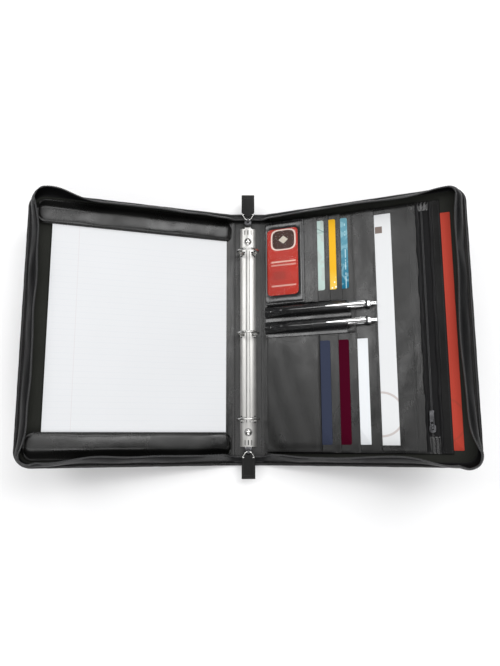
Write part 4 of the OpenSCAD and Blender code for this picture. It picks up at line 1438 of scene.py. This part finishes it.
def booklets():
    """Three document pockets and what stands in them."""
    show = BOOKLET_SHOW
    pitch = BACK.box("ticket")[1][0] - BACK.box("booklet_maroon")[1][0]
    low_box, high_box = BACK.box("booklet_pockets")
    v_span = (low_box[1], high_box[1])
    seams = Stitching("booklet_stitches", "back_cover")
    rows = (("ticket", "ticket_body", "ticket_paper", 0.6),
            ("booklet_maroon", "maroon_booklet", "maroon_cover", 2.2),
            ("booklet_navy", "navy_booklet", "navy_cover", 2.2))
    for k, (node, body, finish, corner) in enumerate(rows):
        low, high = BACK.box(node)
        edge = high[0] - show
        floor = low[2] - 0.1

        def face(u, v, d, edge=edge, k=k):
            lip = edge - u
            lift = 0.45 * bell(lip - 1.0, 0.85) - 0.4 * bell(lip - 2.9, 0.55)
            over = smoothstep((v + 145.0) / 7.0) * smoothstep((-9.0 - v) / 6.0)
            pad_out = 0.55 * over * smoothstep((u - 4.0) / 20.0)
            dimple = 0.42 * ripple(u, v, 90 + k, 24.0, 30.0) * over
            clear = 1.0 if k == 2 else smoothstep((u - (edge - pitch + show) - 0.3) / 2.5)
            rise = (lift + pad_out + dimple - 0.16 * bell(d - 1.6, 0.3)) * clear
            return rise if k == 2 else np.clip(rise - 0.4 * clear, -0.4, 0.05)

        made = slab(f"{node}_pocket", BACK, (4.0 + 0.4 * k, edge),
                    (v_span[0] + 0.3 * k, v_span[1]), floor + 0.75, floor + 1.2,
                    "inner_leather", face, 2.6, 0.5)
        slab(f"{node}_pocket_foot", BACK, (8.0, edge - 0.8),
             (v_span[0] + 0.4 + 0.3 * k, v_span[0] + 3.0), floor, floor + 0.8,
             "inner_leather", None, 3.0, 0.4)
        if k == 0:
            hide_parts("booklet_pockets")
        seams.run([(edge - 3.5, v_span[0] + 1.7, floor + 1.25),
                   (edge - 20.0, v_span[0] + 1.7, floor + 1.25)], BACK.place, 2.8, 1.9, 0.38)
        seams.run([(edge - 3.5, v_span[1] - 1.6, floor + 1.25),
                   (edge - 20.0, v_span[1] - 1.6, floor + 1.25)], BACK.place, 2.8, 1.9, 0.38)
        card = plate(f"{node}_leaf", BACK, (low[0], high[0]), (low[1], high[1]), low[2], high[2],
                     finish, corner, body=body)
        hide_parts(node)
    seams.make()


def pen_section(u, v):
    """Height of the sleeve leather above the block: it climbs over both pens."""
    pen_low, pen_high = BACK.box("pen_upper")
    lower_low, lower_high = BACK.box("pen_lower")
    sleeve_r = PEN_R + 1.1
    base = BACK.box("letter_pocket")[1][2] + 0.55
    height = np.zeros(np.broadcast(u, v).shape)
    narrow = 0.42 + 0.58 * smoothstep((u - 2.0) / 40.0)
    for centre in ((pen_low[1] + pen_high[1]) / 2, (lower_low[1] + lower_high[1]) / 2):
        reach = 9.4
        t = np.clip(np.abs(v - centre) / reach, 0, 1)
        crest = (PEN_AXIS_W + sleeve_r - base) * narrow
        core = np.sqrt(np.clip(1 - (t / 0.78) ** 2, 0, 1))
        skirt = 0.25 * (1 - smoothstep(t))
        height = np.maximum(height, crest * np.maximum(core * 0.98, skirt))
    pleat = 0.55 * ripple(u, v, 63, 70.0, 6.0) + 0.16 * ripple(u, v, 64, 45.0, 3.2)
    gathers = 0.16 * ripple(u, v, 65, 14.0, 9.0)
    strength = smoothstep(height / 2.0) * (0.4 + 0.6 * bell(u - 15.0, 45.0))
    return height + (pleat + gathers) * strength


def pens():
    base = BACK.box("letter_pocket")[1][2] + 0.55
    edge = BACK.box("pen_sleeves")[1][0]
    us = np.linspace(2.5, edge - 1.5, 150)
    vs = np.linspace(-4.2, 37.2, 110)
    u, v = np.meshgrid(us, vs, indexing="ij")
    lip = smoothstep((u - edge + 16.0) / 14.5)
    u = u + lip * (3.0 * np.sin((v - 4.0) / 6.6) - 1.0)
    rise = pen_section(u, v)
    top = base + 0.45 + rise
    low = top - 0.75
    low = np.maximum(low, base)
    points, faces = two_sided(np.stack([u, v, top], -1), np.stack([u, v, low], -1))
    sleeve = piece("pen_sleeve_leather", BACK.place(points), faces, "gloss_leather",
                   "back_cover", 70.0)
    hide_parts("pen_sleeves")
    for which in ("upper", "lower"):
        pen(which)


def lathe(name, profile, axis, finish, body, count=28, crease=30.0):
    """Turns (u, radius) pairs round a pen's axis, given as (v, w)."""
    rings = []
    for along, radius in profile:
        turn = np.linspace(0, 2 * math.pi, count, endpoint=False)
        rings.append(BACK.place(np.column_stack([
            np.full(count, along), axis[0] + radius * np.cos(turn),
            axis[1] + radius * np.sin(turn)])))
    return tube(name, rings, finish, body, crease)


def pen(which):
    node = "pen_" + which
    low, high = BACK.box(node)
    axis = ((low[1] + high[1]) / 2, PEN_AXIS_W)
    tip, end = low[0], high[0]
    body = which + "_pen"
    r = PEN_R
    barrel = lathe(node + "_barrel", [
        (tip + 2.6, 0.9), (tip + 3.2, 1.25), (tip + 9.0, 2.9), (tip + 15.0, 4.0),
        (tip + 17.0, 4.3), (tip + 18.0, 4.1), (tip + 20.0, 4.1), (tip + 21.0, r),
        (tip + 60.0, r), (tip + 78.0, r), (tip + 78.6, r - 0.25)], axis, "pen_black", body)
    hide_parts(node)
    lathe(node + "_tip", [(tip, 0.35), (tip + 0.4, 0.5), (tip + 1.6, 0.55), (tip + 1.9, 0.95),
                          (tip + 3.0, 1.15)], axis, "chrome", body, 16)
    lathe(node + "_cap", [
        (tip + 78.4, r - 0.2), (tip + 79.0, r + 0.1), (tip + 80.0, r + 0.15), (tip + 81.0, r),
        (tip + 121.5, r), (tip + 122.5, r - 0.2)], axis, "chrome", body)
    lathe(node + "_ring", [
        (tip + 122.3, r - 0.4), (tip + 122.6, r + 0.35), (tip + 123.2, r + 0.45),
        (tip + 126.8, r + 0.45), (tip + 127.4, r + 0.35), (tip + 127.6, r - 0.4)],
        axis, "pen_black", body)
    lathe(node + "_crown", [
        (tip + 127.3, r - 0.5), (tip + 127.6, r - 0.1), (end - 1.0, r - 0.5),
        (end - 0.3, r - 0.9), (end, r - 1.5)], axis, "chrome", body)
    button_low, button_high = BACK.box("pen_button_" + which)
    button = lathe(f"{node}_button_cap", [
        (button_low[0], 2.2), (button_high[0] - 1.4, 2.3), (button_high[0] - 0.5, 2.1),
        (button_high[0], 1.4)], axis, "chrome", which + "_pen_button", 24)
    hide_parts("pen_button_" + which)
    clip_rings = []
    start, stop = tip + 76.5, tip + 125.0
    for along in np.linspace(start, stop, 26):
        share = (along - start) / (stop - start)
        half = 0.9 + 2.7 * share ** 0.8
        half *= round_in(along - start + 0.25, 2.0)
        level = 14.0 + 0.25 * share
        thick = 0.42 + 0.12 * share
        turn = np.linspace(0, 2 * math.pi, 16, endpoint=False)
        across = half * np.cos(turn)
        sag = (np.abs(across) / 5.9) ** 2 * 2.6
        clip_rings.append(BACK.place(np.column_stack([
            np.full(16, along), axis[0] + across, level - sag + thick * np.sin(turn)])))
    tube(node + "_clip", clip_rings, "chrome", body, 60.0)
    slab(node + "_clip_foot", BACK, (tip + 122.8, tip + 126.0), (axis[0] - 1.3, axis[0] + 1.3),
         axis[1] + r - 0.2, 14.2, "chrome", None, 0.8, 0.3, body=body)


def organizer():
    """The leather panel, its zipped slot, the letter pocket and the papers."""
    low, high = BACK.box("organizer_panel")
    zip_low, zip_high = BACK.box("pocket_zip")
    slot_u = (zip_low[0] - 0.2, zip_high[0] + 3.0)
    v_span = (low[1], high[1])
    seams = Stitching("organizer_stitches", "back_cover")

    def field(seed):
        def face(u, v, d):
            wave = 0.34 * ripple(u, v, seed, 18.0, 55.0) + 0.1 * ripple(u, v, seed + 1, 8.0, 13.0)
            wave = np.clip(wave, -0.5, 0.3) - 0.24
            return wave * smoothstep(d / 5.0) - 0.3 * bell(d - 2.0, 0.45) + 0.2 * bell(d - 0.9, 0.5)
        return face

    inner = slab("organizer_leather", BACK, (low[0] + 4.0, slot_u[0] + 0.6), v_span,
                 high[2] - 0.65, high[2], "inner_leather", field(13), 4.0, 0.5)
    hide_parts("organizer_panel")
    slab("organizer_outer_band", BACK, (slot_u[1] - 0.6, high[0]), v_span, high[2] - 0.65,
         high[2] + 0.1, "matt_leather", field(14), 2.5, 0.5)

    def pleat(u, v, d):
        return 0.28 * np.sin((u - slot_u[0]) * 1.5 + 0.4 * np.sin(v / 7.0)) * smoothstep(d / 1.5)

    for label, ends in (("head", (zip_high[1] - 0.5, v_span[1] - 0.1)),
                        ("tail", (v_span[0] + 0.1, zip_low[1] + 0.5))):
        slab(f"zip_slot_{label}", BACK, (slot_u[0] - 0.4, slot_u[1] + 0.4), ends, 0.55,
             1.0, "gloss_leather", pleat, 0.8, 0.4)
    for label, u, turn in (("inner", slot_u[0] + 0.6, 0.0), ("outer", slot_u[1] + 1.0, 2.0)):
        def fold(v, u=u, turn=turn):
            wide = 1.9 + 0.35 * math.sin(v / 6.1 + turn) + 0.2 * math.sin(v / 2.7)
            section = circle(1.0, 14) * (wide, 0.95 + 0.16 * math.sin(v / 4.3 + turn))
            return section + (u + 0.35 * math.sin(v / 8.7 + turn), high[2] + 0.1)

        rod(f"zip_fold_{label}", np.linspace(v_span[0] + 2.2, v_span[1] - 2.2, 150), fold,
            "wall_leather")

    level = high[2]
    seam_u = 184.6
    for u in (slot_u[0] - 4.2, slot_u[1] + 4.2, seam_u):
        seams.run([(u, v_span[0] + 3, level - 0.24), (u, v_span[1] - 3, level - 0.24)],
                  BACK.place)
    outline = [(8.0, v_span[0] + 1.8), (high[0] - 1.8, v_span[0] + 1.8),
               (high[0] - 1.8, v_span[1] - 1.8), (8.0, v_span[1] - 1.8)]
    seams.run([(u, v, level + 0.05) for u, v in outline], BACK.place)

    def turned_edge(v):
        return circle(0.75, 10, (seam_u + 2.4 + 0.15 * math.sin(v / 11.0), level - 0.7))

    rod("organizer_fold", np.linspace(v_span[0] + 1.0, v_span[1] - 1.0, 90), turned_edge,
        "inner_leather")

    def letter_face(u, v, d):
        lip = letter_edge - u
        lift = 0.45 * bell(lip - 1.1, 0.9) - 0.4 * bell(lip - 3.0, 0.55)
        swell = 0.2 * smoothstep((u - 121.0) / 8.0) * smoothstep(d / 8.0)
        wave = 0.2 * ripple(u, v, 23, 13.0, 40.0) + 0.1 * ripple(u, v, 24, 8.0, 12.0)
        wave = wave * smoothstep(d / 5.0)
        return lift + swell + wave - 0.16 * bell(d - 1.6, 0.3)

    pocket_low, pocket_high = BACK.box("letter_pocket")
    letter_edge = pocket_high[0]
    pocket = slab("letter_pocket_leather", BACK, (4.2, letter_edge),
                  (pocket_low[1], pocket_high[1]), pocket_high[2] - 0.45, pocket_high[2],
                  "inner_leather", letter_face, 3.5, 0.5)
    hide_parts("letter_pocket")
    seams.run([(letter_edge - 4.0, pocket_low[1] + 1.6, pocket_high[2]),
               (letter_edge - 22.0, pocket_low[1] + 1.6, pocket_high[2])], BACK.place, 2.8, 1.9,
              0.38)
    seams.make()

    low, high = BACK.box("letterhead")
    paper = slab("letterhead_sheet", BACK, (low[0], high[0]), (low[1], high[1]), low[2],
                 high[2], "letter_paper", None, 6.0, 0.3, body="letterhead_body")
    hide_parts("letterhead")
    low, high = BACK.box("folder")
    paper = plate("folder_leaf_lower", BACK, (low[0], high[0]), (low[1], high[1]), low[2],
                  low[2] + 0.18, "folder_card", 0.8, body="folder_body")
    plate("folder_leaf_upper", BACK, (low[0], high[0] - 0.5), (low[1] + 0.5, high[1] - 0.4),
          low[2] + 0.22, high[2], "folder_card", 0.8, body="folder_body")
    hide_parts("folder")


def pocket_zip():
    """Tape, ribbed coil, slider and pull of the pocket's zip."""
    low, high = BACK.box("pocket_zip")
    middle = (low[0] + high[0]) / 2

    def tape_face(u, v, d):
        return 0.16 * ripple(u, v, 3, 3.0, 12.0) - 0.12 * bell(np.abs(u - middle) - 2.2, 0.4)

    tape = slab("pocket_zip_tape", BACK, (low[0] - 0.2, high[0] + 3.6), (low[1], high[1]),
                0.55, max(low[2] + 0.5, 0.95), "zip_tape", tape_face, 1.0, 0.3)
    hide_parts("pocket_zip")
    centre_w = high[2] - 0.9
    for label, side in (("inner", -1), ("outer", 1)):
        def coil(v, side=side):
            radius = 0.62 + 0.2 * math.cos(2 * math.pi * v / 1.8 + side)
            return circle(radius, 8, (middle + side * 0.62, centre_w))

        rod(f"pocket_zip_coil_{label}", np.arange(low[1] + 0.4, high[1] - 0.4, 0.45), coil,
            "zip_coil")

    low, high = BACK.box("pocket_slider")
    centre_v = (low[1] + high[1]) / 2
    rings = []
    for w, swell in ((low[2], 0.86), (low[2] + 0.3, 1.0), (low[2] + 1.2, 1.0),
                     (low[2] + 1.6, 0.82)):
        u, v = squircle(28, 3.9, 4.9, 0.6, 0.6)
        u = u * (1 - 0.2 * smoothstep(v / 4.9))
        rings.append(BACK.place(np.column_stack([middle + u * swell, centre_v + v * swell,
                                                 np.full(28, w)])))
    body = tube("pocket_slider_shield", rings, "black_metal", "pocket_slider_body", 50.0)
    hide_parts("pocket_slider")
    bridge = arch((middle, centre_v, low[2] + 1.5), (1.7, 2.75), 1.1, 0.4, 11, 8)
    tube("pocket_slider_bridge", placed(bridge, BACK.place), "black_metal",
         "pocket_slider_body", 60.0)

    low, high = BACK.box("pocket_pull")
    level = (low[2] + high[2]) / 2
    length = high[1] - low[1]
    loops = []
    for inset, w in ((0.35, level - 0.5), (0.0, level - 0.2), (0.0, level + 0.2),
                     (0.35, level + 0.5)):
        outline = rounded((middle - 2.6 + inset, middle + 2.6 - inset),
                          (low[1] + inset, high[1] - inset), 1.8, 7)
        loops.append(np.column_stack([outline, np.full(len(outline), w)]))
    hole = []
    for inset, w in ((-0.35, level + 0.5), (0.0, level + 0.2), (0.0, level - 0.2),
                     (-0.35, level - 0.5)):
        outline = loops[1][:, :2]
        mid = np.array([middle, low[1] + length * 0.22])
        scale = np.array([(1.25 - inset) / 2.6, (length * 0.15 - inset) / (length / 2)])
        shape = mid + (outline - outline.mean(0)) * scale
        hole.append(np.column_stack([shape, np.full(len(shape), w)]))
    rings = np.array(loops + hole)
    tag = piece("pocket_pull_tag", BACK.place(rings.reshape(-1, 3)), hoop_faces(*rings.shape[:2]),
                "black_metal", "pocket_pull_body", 50.0)
    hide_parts("pocket_pull")


# ---------------------------------------------------------------- build

studio()
cover(FRONT, 3)
cover(BACK, 21)
spine()
end_walls()
for title, node, sign in (("top_slider", "zip_slider_top", 1),
                          ("bottom_slider", "zip_slider_bottom", -1)):
    slider_body(title, node, sign)
pull("top", 1)
pull("bottom", -1)
mechanism()
flap("top", "pad_flap_top", 1)
flap("bottom", "pad_flap_bottom", -1)
pad()
organizer()
card_slots_and_window()
booklets()
pens()
pocket_zip()
dress_cad()
